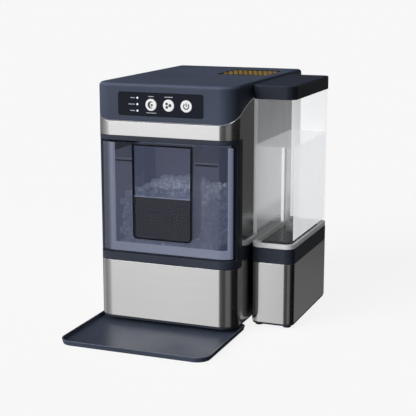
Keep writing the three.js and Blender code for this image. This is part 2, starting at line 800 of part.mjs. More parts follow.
function tankWrap() {
  const wrap = cut(
    slab(tankOutline(0), TANK_LEVELS.wrap, TANK_LEVELS.collar - GAP),
    slab(tankOutline(SHEET), 0, HEIGHT),
  );
  const port = profile(circle(COUPLING.y, COUPLING.z, COUPLING.radius + GAP, 16), TANK.x0 - 5, TANK.x0 + 5);
  return cut(wrap, port);
}

// The floor of the base, with four feet moulded on.
function tankFloor() {
  const feet = [
    [TANK.x0 + 13, TANK.y0 + 15],
    [TANK.x1 - 13, TANK.y0 + 15],
    [TANK.x0 + 13, TANK.y1 - 15],
    [TANK.x1 - 13, TANK.y1 - 15],
  ].map(([x, y]) => slab(circle(x, y, 7, 14), 0, TANK_LEVELS.floor + 1));
  const plateau = slab(tankOutline(1.2), TANK_LEVELS.floor, TANK_LEVELS.wrap - GAP);
  return join(plateau, slab(tankOutline(3), TANK_LEVELS.wrap - 1, TANK_LEVELS.wrap + 3), ...feet);
}

function baseCollar() {
  const { collar, rim } = TANK_LEVELS;
  const ring = slab(tankOutline(0), collar, rim - GAP);
  const hollow = slab(tankOutline(3), 0, rim - 6);
  const spigot = cut(slab(tankOutline(SHEET + GAP), collar - 8, collar + 1), slab(tankOutline(4), 0, HEIGHT));
  const well = slab(circle(tankMiddle.x, tankMiddle.y, 16), 0, HEIGHT);
  return cut(join(cut(ring, hollow), spigot), well);
}

function tankRim() {
  return cut(slab(tankOutline(0.4), TANK_LEVELS.rim, TANK_LEVELS.glass), slab(tankOutline(6), 0, HEIGHT));
}

function tankGlass() {
  const walls = cut(
    slab(tankOutline(0.8), TANK_LEVELS.glass + GAP, TANK_LEVELS.lid - GAP),
    slab(tankOutline(3.3), TANK_LEVELS.glass + 3.5, HEIGHT),
  );
  return cut(walls, slab(circle(tankMiddle.x, tankMiddle.y, 8, 16), 0, 200));
}

function tankValve() {
  const { x, y } = tankMiddle;
  return turned(x, y, [
    [6, 122],
    [9, 126],
    [14, 134],
    [14, TANK_LEVELS.glass],
    [7.6, TANK_LEVELS.glass],
    [7.6, 158],
    [5, 164],
  ]);
}

function tankLid() {
  const { lid, top } = TANK_LEVELS;
  const shell = cut(
    roundedTop(TANK.x0, TANK.y0, TANK.x1, TANK.y1, TANK.front, TANK.rear, lid, top, 2),
    slab(tankOutline(3), 0, top - 3),
  );
  const skirt = cut(slab(tankOutline(3.7), lid - 8, top - 2.5), slab(tankOutline(6), 0, top - 3));
  return join(shell, skirt);
}

add(tank, "tank_base_wrap", tankWrap(), STEEL);
add(tank, "tank_base_floor", tankFloor(), NAVY);
add(tank, "base_collar", baseCollar(), NAVY);
add(
  tank,
  "transfer_pump",
  turned(tankMiddle.x, tankMiddle.y, [
    [22, 12],
    [22, 50],
    [14, 54],
    [14, 84],
    [6, 88],
    [6, 118],
  ]),
  BLACK,
);
add(
  tank,
  "water_coupling",
  profile(circle(COUPLING.y, COUPLING.z, COUPLING.radius, 16), WIDTH - 12, TANK.x0 + 12),
  RUBBER,
);
add(tank, "tank_rim", tankRim(), GREY);
add(tank, "tank_glass", tankGlass(), CLEAR);
add(tank, "tank_valve", tankValve(), WHITE);
add(tank, "tank_lid", tankLid(), NAVY);

const iceMaker = new THREE.Group();
iceMaker.add(cabinet, drawer, tank);
iceMaker.position.set(-ORIGIN.x, -ORIGIN.y, 0);

export default iceMaker;
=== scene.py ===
"""The looks of a countertop nugget ice maker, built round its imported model."""

import math

import bmesh
import bpy
from mathutils import Matrix, Vector


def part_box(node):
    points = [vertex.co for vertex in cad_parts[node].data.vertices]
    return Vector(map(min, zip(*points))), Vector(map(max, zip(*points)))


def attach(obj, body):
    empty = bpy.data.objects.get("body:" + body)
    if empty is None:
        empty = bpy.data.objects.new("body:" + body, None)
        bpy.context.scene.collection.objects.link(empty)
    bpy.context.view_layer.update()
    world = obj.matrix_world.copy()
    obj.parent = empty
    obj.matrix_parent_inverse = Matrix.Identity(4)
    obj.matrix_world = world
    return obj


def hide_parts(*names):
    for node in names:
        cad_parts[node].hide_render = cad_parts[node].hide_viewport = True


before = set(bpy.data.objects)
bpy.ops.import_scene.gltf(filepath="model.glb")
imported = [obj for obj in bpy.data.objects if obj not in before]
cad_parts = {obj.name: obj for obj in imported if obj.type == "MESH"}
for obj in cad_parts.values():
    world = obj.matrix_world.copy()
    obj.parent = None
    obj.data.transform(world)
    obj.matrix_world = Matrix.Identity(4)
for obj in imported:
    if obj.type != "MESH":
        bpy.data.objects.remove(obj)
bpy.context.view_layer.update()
SCENE = bpy.context.scene

# ---- sizes in millimetres, from the cabinet's front left corner on the worktop ----
CABINET_LOW, CABINET_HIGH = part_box("outer_shell")
WIDTH = (CABINET_HIGH.x - CABINET_LOW.x) * 1000
DEPTH = (CABINET_HIGH.y - CABINET_LOW.y) * 1000
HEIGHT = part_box("top_cover")[1].z * 1000
CORNER = 29
REAR_CORNER = 10
SHEET = 1.2
SHELL_BOTTOM = CABINET_LOW.z * 1000
# the frame round the drawer: how far back it reaches, its levels, its depth, and where its opening ends
FRAME_END = 37.7
FRAME_LEVELS = (113, 126.5, 322.5, 330.5)
FRAME_DEPTH = 11.9
OPENING_END = 18.5
# the cover's lower edge rises from its front height to its side height over the sweep
COVER_FRONT = 354.5
COVER_SIDE = 394
SWEEP = 125
COVER_ROOF = 4
COVER_ROUND = 7
SEAM_GAP = 0.3
PULL_LIP = 228
PULL_EDGE = 3
BUTTONS = ("light_button", "clean_button", "power_button")
PANEL_ROUND = 4
BUTTON_HOLE = 10.4
LAMP_HOLE = 1.95
LID_BOTTOM = 393.5
COLLAR_BOTTOM = 114
WATER_LEVEL = 314
# across the water's front: a painted highlight strip from the first to the second, then a painted shade strip
# to the third
GLEAM = (310.5, 315.5, 321)


def place(x, y, z):
    """A point given from the cabinet's front left corner, in metres in the shared frame."""
    return Vector((CABINET_LOW.x + x / 1000, CABINET_LOW.y + y / 1000, z / 1000))


def local_box(node):
    """A CAD node's lowest and highest corners, from the cabinet's front left corner."""
    origin = Vector((CABINET_LOW.x, CABINET_LOW.y, 0))
    return [(corner - origin) * 1000 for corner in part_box(node)]


def middle_of(node):
    return sum(local_box(node), Vector()) / 2


# ---- node trees ----
class Value:
    """A socket whose operators add Math nodes to its tree."""

    def __init__(self, tree, socket):
        self.tree = tree
        self.socket = socket

    def maths(self, operation, *others):
        return self.tree.add("ShaderNodeMath", {"operation": operation}, dict(enumerate((self, *others))))

    def __add__(self, other):
        return self.maths("ADD", other)

    def __sub__(self, other):
        return self.maths("SUBTRACT", other)

    def __mul__(self, other):
        return self.maths("MULTIPLY", other)

    def __truediv__(self, other):
        return self.maths("DIVIDE", other)

    def __neg__(self):
        return self.maths("MULTIPLY", -1.0)

    __radd__ = __add__
    __rmul__ = __mul__

    def __rsub__(self, other):
        return (-self).maths("ADD", other)


class Tree:
    """Adds nodes to one node tree."""

    def __init__(self, tree):
        self.tree = tree

    def add(self, kind, settings=None, inputs=None, output=0):
        """Makes a node: its settings first, then its sockets by name or number. Gives the wanted output."""
        node = self.tree.nodes.new(kind)
        for key, value in (settings or {}).items():
            if key == "stops":
                self.set_stops(node.color_ramp, value)
            else:
                setattr(node, key, value)
        for key, value in (inputs or {}).items():
            if isinstance(value, Value):
                self.tree.links.new(value.socket, node.inputs[key])
            else:
                node.inputs[key].default_value = value
        return Value(self, node.outputs[output])

    @staticmethod
    def set_stops(ramp, stops):
        while len(ramp.elements) > 1:
            ramp.elements.remove(ramp.elements[0])
        for number, (position, colour) in enumerate(stops):
            element = ramp.elements[0] if number == 0 else ramp.elements.new(position)
            element.position = position
            element.color = (*colour, 1)

    def mix(self, factor, first, second):
        """Blends two colours."""
        sides = {"Factor": factor, 6: first, 7: second}
        return self.add("ShaderNodeMix", {"data_type": "RGBA"}, sides, 2)

    def spread(self, value, low, high, to_low, to_high):
        """Maps low..high to to_low..to_high, clamped."""
        ends = {0: value, 1: low, 2: high, 3: to_low, 4: to_high}
        return self.add("ShaderNodeMapRange", {"clamp": True}, ends)


def rgb(red, green, blue):
    """A screen colour of 0 to 255 as a linear one."""

    def linear(value):
        return ((value / 255 + 0.055) / 1.055) ** 2.4 if value > 10 else value / 255 / 12.92

    return tuple(linear(value) for value in (red, green, blue))


# ---- materials ----
class Finish(Tree):
    """One material's tree, with the patterns that several finishes share."""

    def __init__(self, name):
        self.material = bpy.data.materials.new(name)
        self.material.use_nodes = True
        super().__init__(self.material.node_tree)
        self.tree.nodes.clear()
        self.where = self.add("ShaderNodeTexCoord", output=3)

    def noise(self, scale, stretch=(1, 1, 1), detail=3, roughness=0.5):
        place_on = self.add("ShaderNodeMapping", inputs={"Vector": self.where, "Scale": stretch})
        settings = {"Vector": place_on, "Scale": scale, "Detail": detail, "Roughness": roughness}
        return self.add("ShaderNodeTexNoise", inputs=settings)

    def vary(self, pattern, low, high):
        """A number that follows a pattern's middle range."""
        return self.spread(pattern, 0.3, 0.7, low, high)

    def toned(self, pattern, colour, darkest, lightest):
        """The colour times a factor that follows a pattern."""
        sides = [tuple(value * factor for value in colour) + (1,) for factor in (darkest, lightest)]
        return self.mix(self.vary(pattern, 0, 1), *sides)

    def bump(self, height, strength, distance=0.0005):
        settings = {"Height": height, "Strength": strength, "Distance": distance}
        return self.add("ShaderNodeBump", inputs=settings)

    def surface(self, **sockets):
        named = {key.replace("_", " "): value for key, value in sockets.items()}
        for key in ("Base Color", "Emission Color"):
            if key in named and isinstance(named[key], tuple):
                named[key] = (*named[key], 1)
        return self.add("ShaderNodeBsdfPrincipled", inputs=named)

    def done(self, shader):
        output = self.tree.nodes.new("ShaderNodeOutputMaterial")
        self.tree.links.new(shader.socket, output.inputs["Surface"])
        return self.material


def scaled(colour, factor):
    return tuple(v * factor for v in colour)


def moulded(name, colour, roughness, mottle=0.12, grain=0.12, specular=0.5, **more):
    """Moulded plastic or rubber: a fine texture, and slight clouds of tone."""
    f = Finish(name)
    clouds = f.noise(9, detail=4)
    fine = f.noise(1400, detail=2)
    surface = f.surface(
        Base_Color=f.toned(clouds, colour, 1 - mottle, 1 + mottle),
        Roughness=f.vary(clouds, roughness - 0.04, roughness + 0.04),
        Specular_IOR_Level=specular,
        Normal=f.bump(fine, grain, 0.0002),
        **more,
    )
    return f.done(surface)


def brushed_steel():
    """Stainless sheet brushed crossways: fine level lines that smear reflections upwards."""
    f = Finish("brushed_steel")
    lines = f.noise(1, (14, 14, 2600), detail=3)
    clouds = f.noise(6, detail=3)
    base = f.mix(f.vary(lines, 0, 1), (0.66, 0.66, 0.66, 1), (0.70, 0.70, 0.698, 1))
    rough = f.vary(clouds, 0.16, 0.2)
    relief = f.bump(lines, 0.08, 0.00004)
    return f.done(f.surface(Base_Color=base, Metallic=1.0, Roughness=rough, Normal=relief))


def bare_metal(name, colour, roughness, stretch=(1, 1, 1)):
    """Plated, cast or drawn metal with fine scratches."""
    f = Finish(name)
    scratches = f.noise(300, stretch, detail=4)
    base = f.toned(scratches, colour, 0.85, 1.1)
    rough = f.vary(scratches, roughness - 0.05, roughness + 0.08)
    relief = f.bump(scratches, 0.1, 0.0002)
    return f.done(f.surface(Base_Color=base, Metallic=1.0, Roughness=rough, Normal=relief))


def see_through(name, colour, opacity, roughness=0.06, haze=0.0, gloss=0.04, edge_on=None, foot=None):
    """Thin clear or smoky plastic, faintly streaked by its moulding.

    Its glow is painted light: emission standing in for light caught in the plastic. It is less clear edge on
    if edge_on says so.
    The foot is two heights and a share of the opacity: the material fades to that share from the higher
    height down to the lower.
    """
    f = Finish(name)
    streaks = f.noise(30, (1, 1, 0.25), detail=3)
    waves = f.noise(12, (1, 1, 0.5), detail=1)
    bumps = f.bump(waves, 0.05, 0.001)
    facing = f.add("ShaderNodeLayerWeight", inputs={"Blend": 0.5}, output=1)
    cover = f.vary(streaks, opacity * 0.96, opacity * 1.04)
    if edge_on:
        cover = cover + f.spread(facing, 0.10, 0.26, 0, edge_on - opacity)
    if foot:
        height = f.add("ShaderNodeSeparateXYZ", inputs={0: f.where}, output=2)
        cover = cover * f.spread(height, foot[0] / 1000, foot[1] / 1000, foot[2], 1)
    body = f.surface(
        Base_Color=f.toned(streaks, colour, 0.94, 1.06),
        Roughness=roughness,
        Alpha=cover,
        Specular_IOR_Level=0.3,
        Emission_Color=colour,
        Emission_Strength=haze,
        Normal=bumps,
    )
    shine = f.add("ShaderNodeBsdfAnisotropic", inputs={"Roughness": roughness, "Normal": bumps})
    return f.done(f.add("ShaderNodeMixShader", inputs={0: facing * gloss, 1: body, 2: shine}))


def ice():
    """Chewed-looking nugget ice: white and cloudy, with wet gloss, and a faint glow that is painted light."""
    f = Finish("nugget_ice")
    clouds = f.noise(160, detail=4)
    tone = f.spread(clouds, 0.35, 0.65, 0, 1)
    base = f.mix(tone, (0.50, 0.56, 0.68, 1), (0.86, 0.91, 1.0, 1))
    pits = f.noise(420, detail=3)
    rough = f.vary(clouds, 0.12, 0.4)
    glow = {"Emission_Color": (0.5, 0.56, 0.7), "Emission_Strength": 0.13}
    return f.done(f.surface(Base_Color=base, Roughness=rough, Normal=f.bump(pits, 0.5, 0.001), **glow))


def woven_screen():
    """A gold filter screen: crossed wires seen as a fine grid."""
    f = Finish("woven_screen")
    warp = f.add("ShaderNodeTexWave", {"bands_direction": "X"}, {"Vector": f.where, "Scale": 160.0})
    weft = f.add("ShaderNodeTexWave", {"bands_direction": "Y"}, {"Vector": f.where, "Scale": 160.0})
    wires = warp.maths("MAXIMUM", weft)
    base = f.mix(wires, (0.20, 0.12, 0.02, 1), (0.78, 0.50, 0.11, 1))
    relief = f.bump(wires, 0.4, 0.0003)
    return f.done(f.surface(Base_Color=base, Metallic=0.2, Roughness=0.5, Normal=relief))


def glowing_lens():
    """A frosted lamp lens, softly lit."""
    f = Finish("lamp_lens")
    frost = f.noise(900, detail=2)
    base = f.mix(frost, (0.75, 0.78, 0.82, 1), (0.95, 0.96, 1.0, 1))
    glow = {"Emission_Color": (0.9, 0.95, 1.0), "Emission_Strength": 0.25}
    return f.done(f.surface(Base_Color=base, Roughness=0.3, **glow))


NAVY = rgb(70, 77, 93)
DEEP_NAVY = rgb(45, 51, 63)
STEEL = brushed_steel()
COVER_PLASTIC = moulded("cover_navy", scaled(NAVY, 0.98), 0.45, specular=0.08)
# Painted light: the cover's upward faces get a lighter copy of its navy.
LIT_COVER_TOP = moulded("cover_top", scaled(NAVY, 1.42), 0.5, specular=0.08)
# Painted highlight: the front rounding of the top gets a still lighter copy of the navy.
COVER_ROUNDING_HIGHLIGHT = moulded("cover_rounding", scaled(NAVY, 1.5), 0.4, specular=0.15)
# Painted highlight: a pale line that glows a little along the cover's edge just above the seam.
LINE_GLOW = {"Emission_Color": (0.8, 0.82, 0.86), "Emission_Strength": 0.22}
COVER_HIGHLIGHT_LINE = moulded("cover_line", rgb(190, 194, 202), 0.4, **LINE_GLOW)
FRAME_PLASTIC = moulded("frame_navy", scaled(NAVY, 0.52), 0.38, specular=0.2)
LID_PLASTIC = moulded("lid_navy", scaled(DEEP_NAVY, 0.74), 0.45, specular=0.15)
# Painted light: the lid's upward faces get a lighter copy of its navy than its sides.
LIT_LID_TOP = moulded("lid_top", scaled(DEEP_NAVY, 1.4), 0.5, specular=0.15)
TRAY_PLASTIC = moulded("tray_navy", scaled(NAVY, 0.94), 0.5, grain=0.04, specular=0.10)
# Painted highlight and real gloss: the lip's top faces get a lighter, glossier copy of the tray's navy.
TRAY_LIP_HIGHLIGHT = moulded("tray_lip", scaled(NAVY, 1.5), 0.3, specular=0.3)
PANEL_GLOSS = moulded("panel_gloss", rgb(20, 24, 36), 0.2, mottle=0.05, grain=0.02, specular=0.12)
BUTTON_WHITE = moulded("button_white", rgb(246, 247, 248), 0.25, mottle=0.02, grain=0.03)
MARK_GREY = moulded("mark_grey", rgb(56, 58, 64), 0.5, mottle=0.05)
LABEL_GREY = moulded("label_grey", rgb(170, 174, 184), 0.5, mottle=0.05)
# Painted shade: near-black lines where the pull's opening and the tub's rim lie in shade.
SHADE_LINE = moulded("black_gasket", rgb(16, 16, 24), 0.55, mottle=0.1, specular=0.05)
# The bin liner's own dark colour; on the collar it is painted shade on the recess floor.
DARK_LINER_AND_SHADE = moulded("dark_liner", rgb(30, 32, 42), 0.5)
GREY_PLASTIC = moulded("grey_plastic", rgb(150, 150, 147), 0.45)
# Painted light: the pale seal ring glows faintly.
GASKET_GLOW = {"Emission_Color": (0.85, 0.86, 0.86), "Emission_Strength": 0.06}
PALE_GASKET = moulded("pale_gasket", rgb(236, 237, 236), 0.45, **GASKET_GLOW)
WHITE_PLASTIC = moulded("white_plastic", rgb(225, 226, 224), 0.4)
BLACK_PLASTIC = moulded("black_plastic", rgb(28, 28, 31), 0.45)
RUBBER = moulded("rubber", rgb(24, 24, 26), 0.8, grain=0.3)
REAR_PAINT = moulded("rear_paint", rgb(84, 87, 95), 0.5, grain=0.5)
BLACK_ENAMEL = moulded("black_enamel", rgb(22, 22, 25), 0.2)
SOLDER_MASK = moulded("circuit_board", rgb(24, 88, 52), 0.35, mottle=0.25)
ZINC = bare_metal("zinc", (0.62, 0.64, 0.68), 0.35)
CAST_METAL = bare_metal("cast_metal", (0.6, 0.6, 0.62), 0.45)
COPPER = bare_metal("copper", (0.80, 0.40, 0.24), 0.3)
FINS = bare_metal("rolled_fins", (0.72, 0.73, 0.75), 0.35, (1, 1, 0.1))
SMOKE = see_through("smoked_window", rgb(40, 43, 57), 0.28, gloss=0.04, edge_on=0.62)
# Painted light: the pull cup glows strongly behind its smoky tint.
DARK_SMOKE = see_through("smoked_pocket", rgb(46, 49, 63), 0.38, haze=1.6, gloss=0.05)
SHADE_SMOKE = see_through("shaded_pocket", rgb(54, 56, 67), 0.82, haze=0.3, gloss=0.03)
# Painted light: the tub's smoky walls glow a little.
TUB_SMOKE = see_through("smoked_tub", rgb(120, 128, 155), 0.30, 0.15, haze=0.5)
# Painted light: pale, nearly opaque glowing bars for the light caught on the tub's front edges.
LIT_BAR_SMOKE = see_through("frosted_bar", rgb(160, 167, 190), 0.92, 0.35, haze=0.8)
# Painted highlight: a pale glowing strip along lit edges.
HIGHLIGHT_SMOKE = see_through("pale_edge", rgb(112, 118, 138), 0.75, 0.35, haze=0.55)
CLEAR = see_through("clear_tank", (0.85, 0.86, 0.87), 0.01, 0.03, gloss=0.05)
# Painted light: the clear tank's left wall is made partly opaque and glowing.
GLOWING_LEFT_WALL = see_through("frosted_wall", (0.60, 0.61, 0.62), 0.45, 0.3, haze=0.42, foot=(156, 166, 0.06))
# Painted light: the clear tank's rear wall is made pale, mostly opaque and glowing.
GLOWING_REAR_WALL = see_through("milky_wall", (0.90, 0.91, 0.92), 0.6, 0.3, haze=0.88, foot=(140, 152, 0.1))
# Painted light: the water glows a little.
WATER = see_through("water", (0.88, 0.9, 0.92), 0.19, 0.02, haze=0.6, gloss=0.03, foot=(186, 202, 0.08))
# Painted light: the water's right side is pale, mostly opaque and glowing.
WATER_SIDE = see_through("water_side", (0.88, 0.9, 0.92), 0.8, 0.02, haze=0.78, gloss=0.03)
# Painted highlight and painted shade: strips across the water's front, for light bent by the tank's far
# corner.
STRIP = {"roughness": 0.02, "gloss": 0.03, "foot": (186, 192, 0.08)}
WATER_GLEAM = see_through("water_gleam", (0.9, 0.91, 0.92), 0.6, haze=0.42, **STRIP)
WATER_SHADE = see_through("water_shade", (0.26, 0.27, 0.28), 0.5, haze=0.3, **STRIP)
ICE = ice()
SCREEN = woven_screen()
LENS = glowing_lens()


# ---- plan lines: a rounded rectangle's outline, seen from above, with outward normals ----
def corner_arc(x, y, radius, start, steps, extra=()):
    """Points on a quarter circle that starts at that many degrees, with extra ones where asked."""
    turns = {start + 90 * i / steps for i in range(steps + 1)}
    turns = sorted(turns | {start + turn for turn in extra})
    points = []
    for turn in turns:
        nx, ny = math.cos(math.radians(turn)), math.sin(math.radians(turn))
        points.append((x + radius * nx, y + radius * ny, nx, ny))
    return points


def plan_line(x0, y0, x1, y1, front, rear, side_stops=(), front_stops=(), extra=(), steps=14):
    """Runs anticlockwise from the rear left corner, along the left side, the front and the right side."""
    front, rear = max(front, 0.2), max(rear, 0.2)
    mirrored = [90 - turn for turn in extra]
    line = corner_arc(x0 + rear, y1 - rear, rear, 90, steps)
    line += [(x0, y, -1, 0) for y in sorted(side_stops, reverse=True)]
    line += corner_arc(x0 + front, y0 + front, front, 180, steps, mirrored)
    line += [(x, y0, 0, -1) for x in sorted(front_stops)]
    line += corner_arc(x1 - front, y0 + front, front, 270, steps, extra)
    line += [(x1, y, 1, 0) for y in sorted(side_stops)]
    line += corner_arc(x1 - rear, y1 - rear, rear, 0, steps)
    return line


def cabinet_line(inset, **stops):
    return plan_line(inset, inset, WIDTH - inset, DEPTH - inset, CORNER - inset, REAR_CORNER - inset, **stops)


def line_round(node, front, rear, steps):
    """A function that gives the plan line round a CAD node's box at an inset."""
    low, high = local_box(node)

    def line(inset):
        corners = (low.x + inset, low.y + inset, high.x - inset, high.y - inset)
        return plan_line(*corners, front - inset, rear - inset, steps=steps)

    return line


tank_line = line_round("tank_base_wrap", 16, 10, 10)


# ---- meshes ----
def face(bm, *corners):
    return bm.faces.new(corners)


def sheet_along(line, heights, thick, keep):
    """An upright sheet along a plan line. heights gives its levels at (x, y), keep says which cells stay."""
    bm = bmesh.new()
    outer, inner = [], []
    for x, y, nx, ny in line:
        levels = heights(x, y)
        outer.append([bm.verts.new((x, y, z)) for z in levels])
        inner.append([bm.verts.new((x - nx * thick, y - ny * thick, z)) for z in levels])
    columns, rows = len(line) - 1, len(outer[0]) - 1

    def kept(i, k):
        return 0 <= i < columns and 0 <= k < rows and keep(i, k)

    for i in range(columns):
        j = i + 1
        for k in range(rows):
            if not kept(i, k):
                continue
            face(bm, outer[i][k], outer[j][k], outer[j][k + 1], outer[i][k + 1])
            face(bm, inner[j][k], inner[i][k], inner[i][k + 1], inner[j][k + 1])
            if not kept(i, k - 1):
                face(bm, outer[j][k], outer[i][k], inner[i][k], inner[j][k])
            if not kept(i, k + 1):
                face(bm, outer[i][k + 1], outer[j][k + 1], inner[j][k + 1], inner[i][k + 1])
            if not kept(i - 1, k):
                face(bm, outer[i][k], outer[i][k + 1], inner[i][k + 1], inner[i][k])
            if not kept(i + 1, k):
                face(bm, outer[j][k + 1], outer[j][k], inner[j][k], inner[j][k + 1])
    return bm


def stacked(loops, closed=False):
    """A solid through loops of equally many points. Its ends are capped, or the last joins the first."""
    bm = bmesh.new()
    rings = [[bm.verts.new(point) for point in loop] for loop in loops]
    count = len(rings[0])
    pairs = list(zip(rings, rings[1:] + rings[:1])) if closed else list(zip(rings, rings[1:]))
    for lower, upper in pairs:
        for i in range(count):
            j = (i + 1) % count
            face(bm, lower[i], lower[j], upper[j], upper[i])
    if not closed:
        face(bm, *reversed(rings[0]))
        face(bm, *rings[-1])
    return bm


def plan_solid(line, profile, closed=False):
    """Loops of a plan line at each (inset, height) of the profile. A height may follow (x, y)."""
    loops = []
    for inset, height in profile:
        loop = []
        for point in line(inset):
            z = height(point[0], point[1]) if callable(height) else height
            loop.append((point[0], point[1], z))
        loops.append(loop)
    return stacked(loops, closed)


def rounded(inset0, z0, inset1, z1, steps=5, bulge_out=True):
    """Profile points of a quarter round between two points. It leaves the first along Z if bulge_out."""
    points = []
    for i in range(steps + 1):
        turn = math.pi / 2 * i / steps
        along, across = math.sin(turn), 1 - math.cos(turn)
        if not bulge_out:
            along, across = across, along
        points.append((inset0 + (inset1 - inset0) * across, z0 + (z1 - z0) * along))
    return points


def arc(x, z, radius, start, end, steps):
    """Points on part of a circle, in degrees."""
    turns = [math.radians(start + (end - start) * i / steps) for i in range(steps + 1)]
    return [(x + radius * math.cos(t), z + radius * math.sin(t)) for t in turns]


def disc(x, z, radius, steps=48):
    """The outline of a circle."""
    turns = [2 * math.pi * i / steps for i in range(steps)]
    return [(x + radius * math.cos(t), z + radius * math.sin(t)) for t in turns]


def spun(x, z, pairs, steps=48):
    """A solid of revolution about an axis along Y through (x, z), from (radius, y) pairs."""
    return stacked([[(px, y, pz) for px, pz in disc(x, z, radius, steps)] for radius, y in pairs])


def raised(outline, y0, y1):
    """A flat shape given as (x, z) points, from y0 back to y1."""
    return stacked([[(x, y, z) for x, z in outline] for y in (y0, y1)])


def slab(outline, z0, z1):
    """A flat shape given as (x, y) points, from z0 up to z1."""
    return stacked([[(x, y, z) for x, y in outline] for z in (z0, z1)])


def rounded_box(x0, z0, x1, z1, radius, steps=6):
    """The outline of a rounded rectangle."""
    return [point[:2] for point in plan_line(x0, z0, x1, z1, radius, radius, steps=steps)]


def merged(*parts):
    """Several bmeshes as one."""
    whole = parts[0]
    for part in parts[1:]:
        copy = bpy.data.meshes.new("part")
        part.to_mesh(copy)
        part.free()
        whole.from_mesh(copy)
        bpy.data.meshes.remove(copy)
    return whole


def put(name, data):
    """A new object in the scene."""
    thing = bpy.data.objects.new(name, data)
    SCENE.collection.objects.link(thing)
    return thing


def to_object(name, bm):
    """Turns millimetres from the cabinet's corner into metres in the shared frame."""
    bmesh.ops.delete(bm, geom=[v for v in bm.verts if not v.link_faces], context="VERTS")
    bmesh.ops.remove_doubles(bm, verts=bm.verts, dist=0.001)
    bmesh.ops.recalc_face_normals(bm, faces=bm.faces)
    to_metres = Matrix.Translation(place(0, 0, 0)) @ Matrix.Scale(0.001, 4)
    bmesh.ops.transform(bm, matrix=to_metres, verts=bm.verts)
    mesh = bpy.data.meshes.new(name)
    bm.to_mesh(mesh)
    bm.free()
    return put(name, mesh)


def flattened(thing):
    """Applies the modifiers of thing to its mesh."""
    bpy.context.view_layer.update()
    graph = bpy.context.evaluated_depsgraph_get()
    mesh = bpy.data.meshes.new_from_object(thing.evaluated_get(graph))
    thing.modifiers.clear()
    old, thing.data = thing.data, mesh
    mesh.name = thing.name
    bpy.data.meshes.remove(old)


def cut_away(thing, *cutters):
    """Subtracts each cutter from thing."""
    for number, cutter in enumerate(cutters):
        tool = to_object(f"cutter_{number}", cutter)
        modifier = thing.modifiers.new("cut", "BOOLEAN")
        modifier.operation = "DIFFERENCE"
        modifier.solver = "EXACT"
        modifier.object = tool
        flattened(thing)
        bpy.data.objects.remove(tool)


def finished(thing, material, body, replaced=(), edge=0.0, sharp=32):
    """Softens the edges, smooths the rounds, and fits the piece to its body."""
    if edge:
        bevel = thing.modifiers.new("soft_edges", "BEVEL")
        bevel.width = edge / 1000
        bevel.segments = 2
        bevel.limit_method = "ANGLE"
        bevel.angle_limit = math.radians(40)
        flattened(thing)
    mesh = thing.data
    mesh.materials.clear()
    mesh.materials.append(material)
    mesh.polygons.foreach_set("material_index", [0] * len(mesh.polygons))
    mesh.polygons.foreach_set("use_smooth", [True] * len(mesh.polygons))
    mesh.set_sharp_from_angle(angle=math.radians(sharp))
    flat_faces = thing.modifiers.new("flat_faces", "WEIGHTED_NORMAL")
    flat_faces.keep_sharp = True
    flattened(thing)
    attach(thing, body)
    if replaced:
        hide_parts(*replaced)
    return thing


def coat_where(thing, material, chosen):
    """Gives the chosen faces of a piece another material."""
    thing.data.materials.append(material)
    for side in thing.data.polygons:
        if chosen(side):
            side.material_index = len(thing.data.materials) - 1


def from_corner(side):
    """A face's centre in millimetres from the cabinet's front left corner."""
    return (side.center - place(0, 0, 0)) * 1000


def piece(name, bm, material, body, replaced=(), edge=0.0, sharp=32):
    """A finished piece from its mesh."""
    return finished(to_object(name, bm), material, body, replaced, edge, sharp)


# ---- cabinet ----
SIDE_STOPS = [38, *range(46, SWEEP, 8), SWEEP, 200, 290]


def seam(x, y):
    """Height of the seam between the steel and the cover."""
    if y >= SWEEP:
        return COVER_SIDE
    return COVER_SIDE - (COVER_SIDE - COVER_FRONT) * (1 - max(y, 0) / SWEEP) ** 2


def make_shell():
    rear_lap = 14
    round_it = cabinet_line(0, side_stops=SIDE_STOPS)
    line = [(rear_lap, DEPTH, 0, 1), *round_it, (WIDTH - rear_lap, DEPTH, 0, 1)]
    frame_low, frame_high = local_box("drawer_frame")

    def keep(i, k):
        return k != 1 or max(line[i][1], line[i + 1][1]) > SIDE_STOPS[0] + 0.1

    def heights(x, y):
        return [SHELL_BOTTOM, frame_low.z - SEAM_GAP, frame_high.z + SEAM_GAP, seam(x, y)]

    bm = sheet_along(line, heights, SHEET, keep)
    piece("steel_wrap", bm, STEEL, "cabinet", ["outer_shell"], edge=0.25)


def along_seam(point):
    """Whether a point is on the narrow edge just above the seam, from the front to the end of its sweep."""
    return point.y < SWEEP and 0.2 < point.z - seam(point.x, point.y) < 1.7


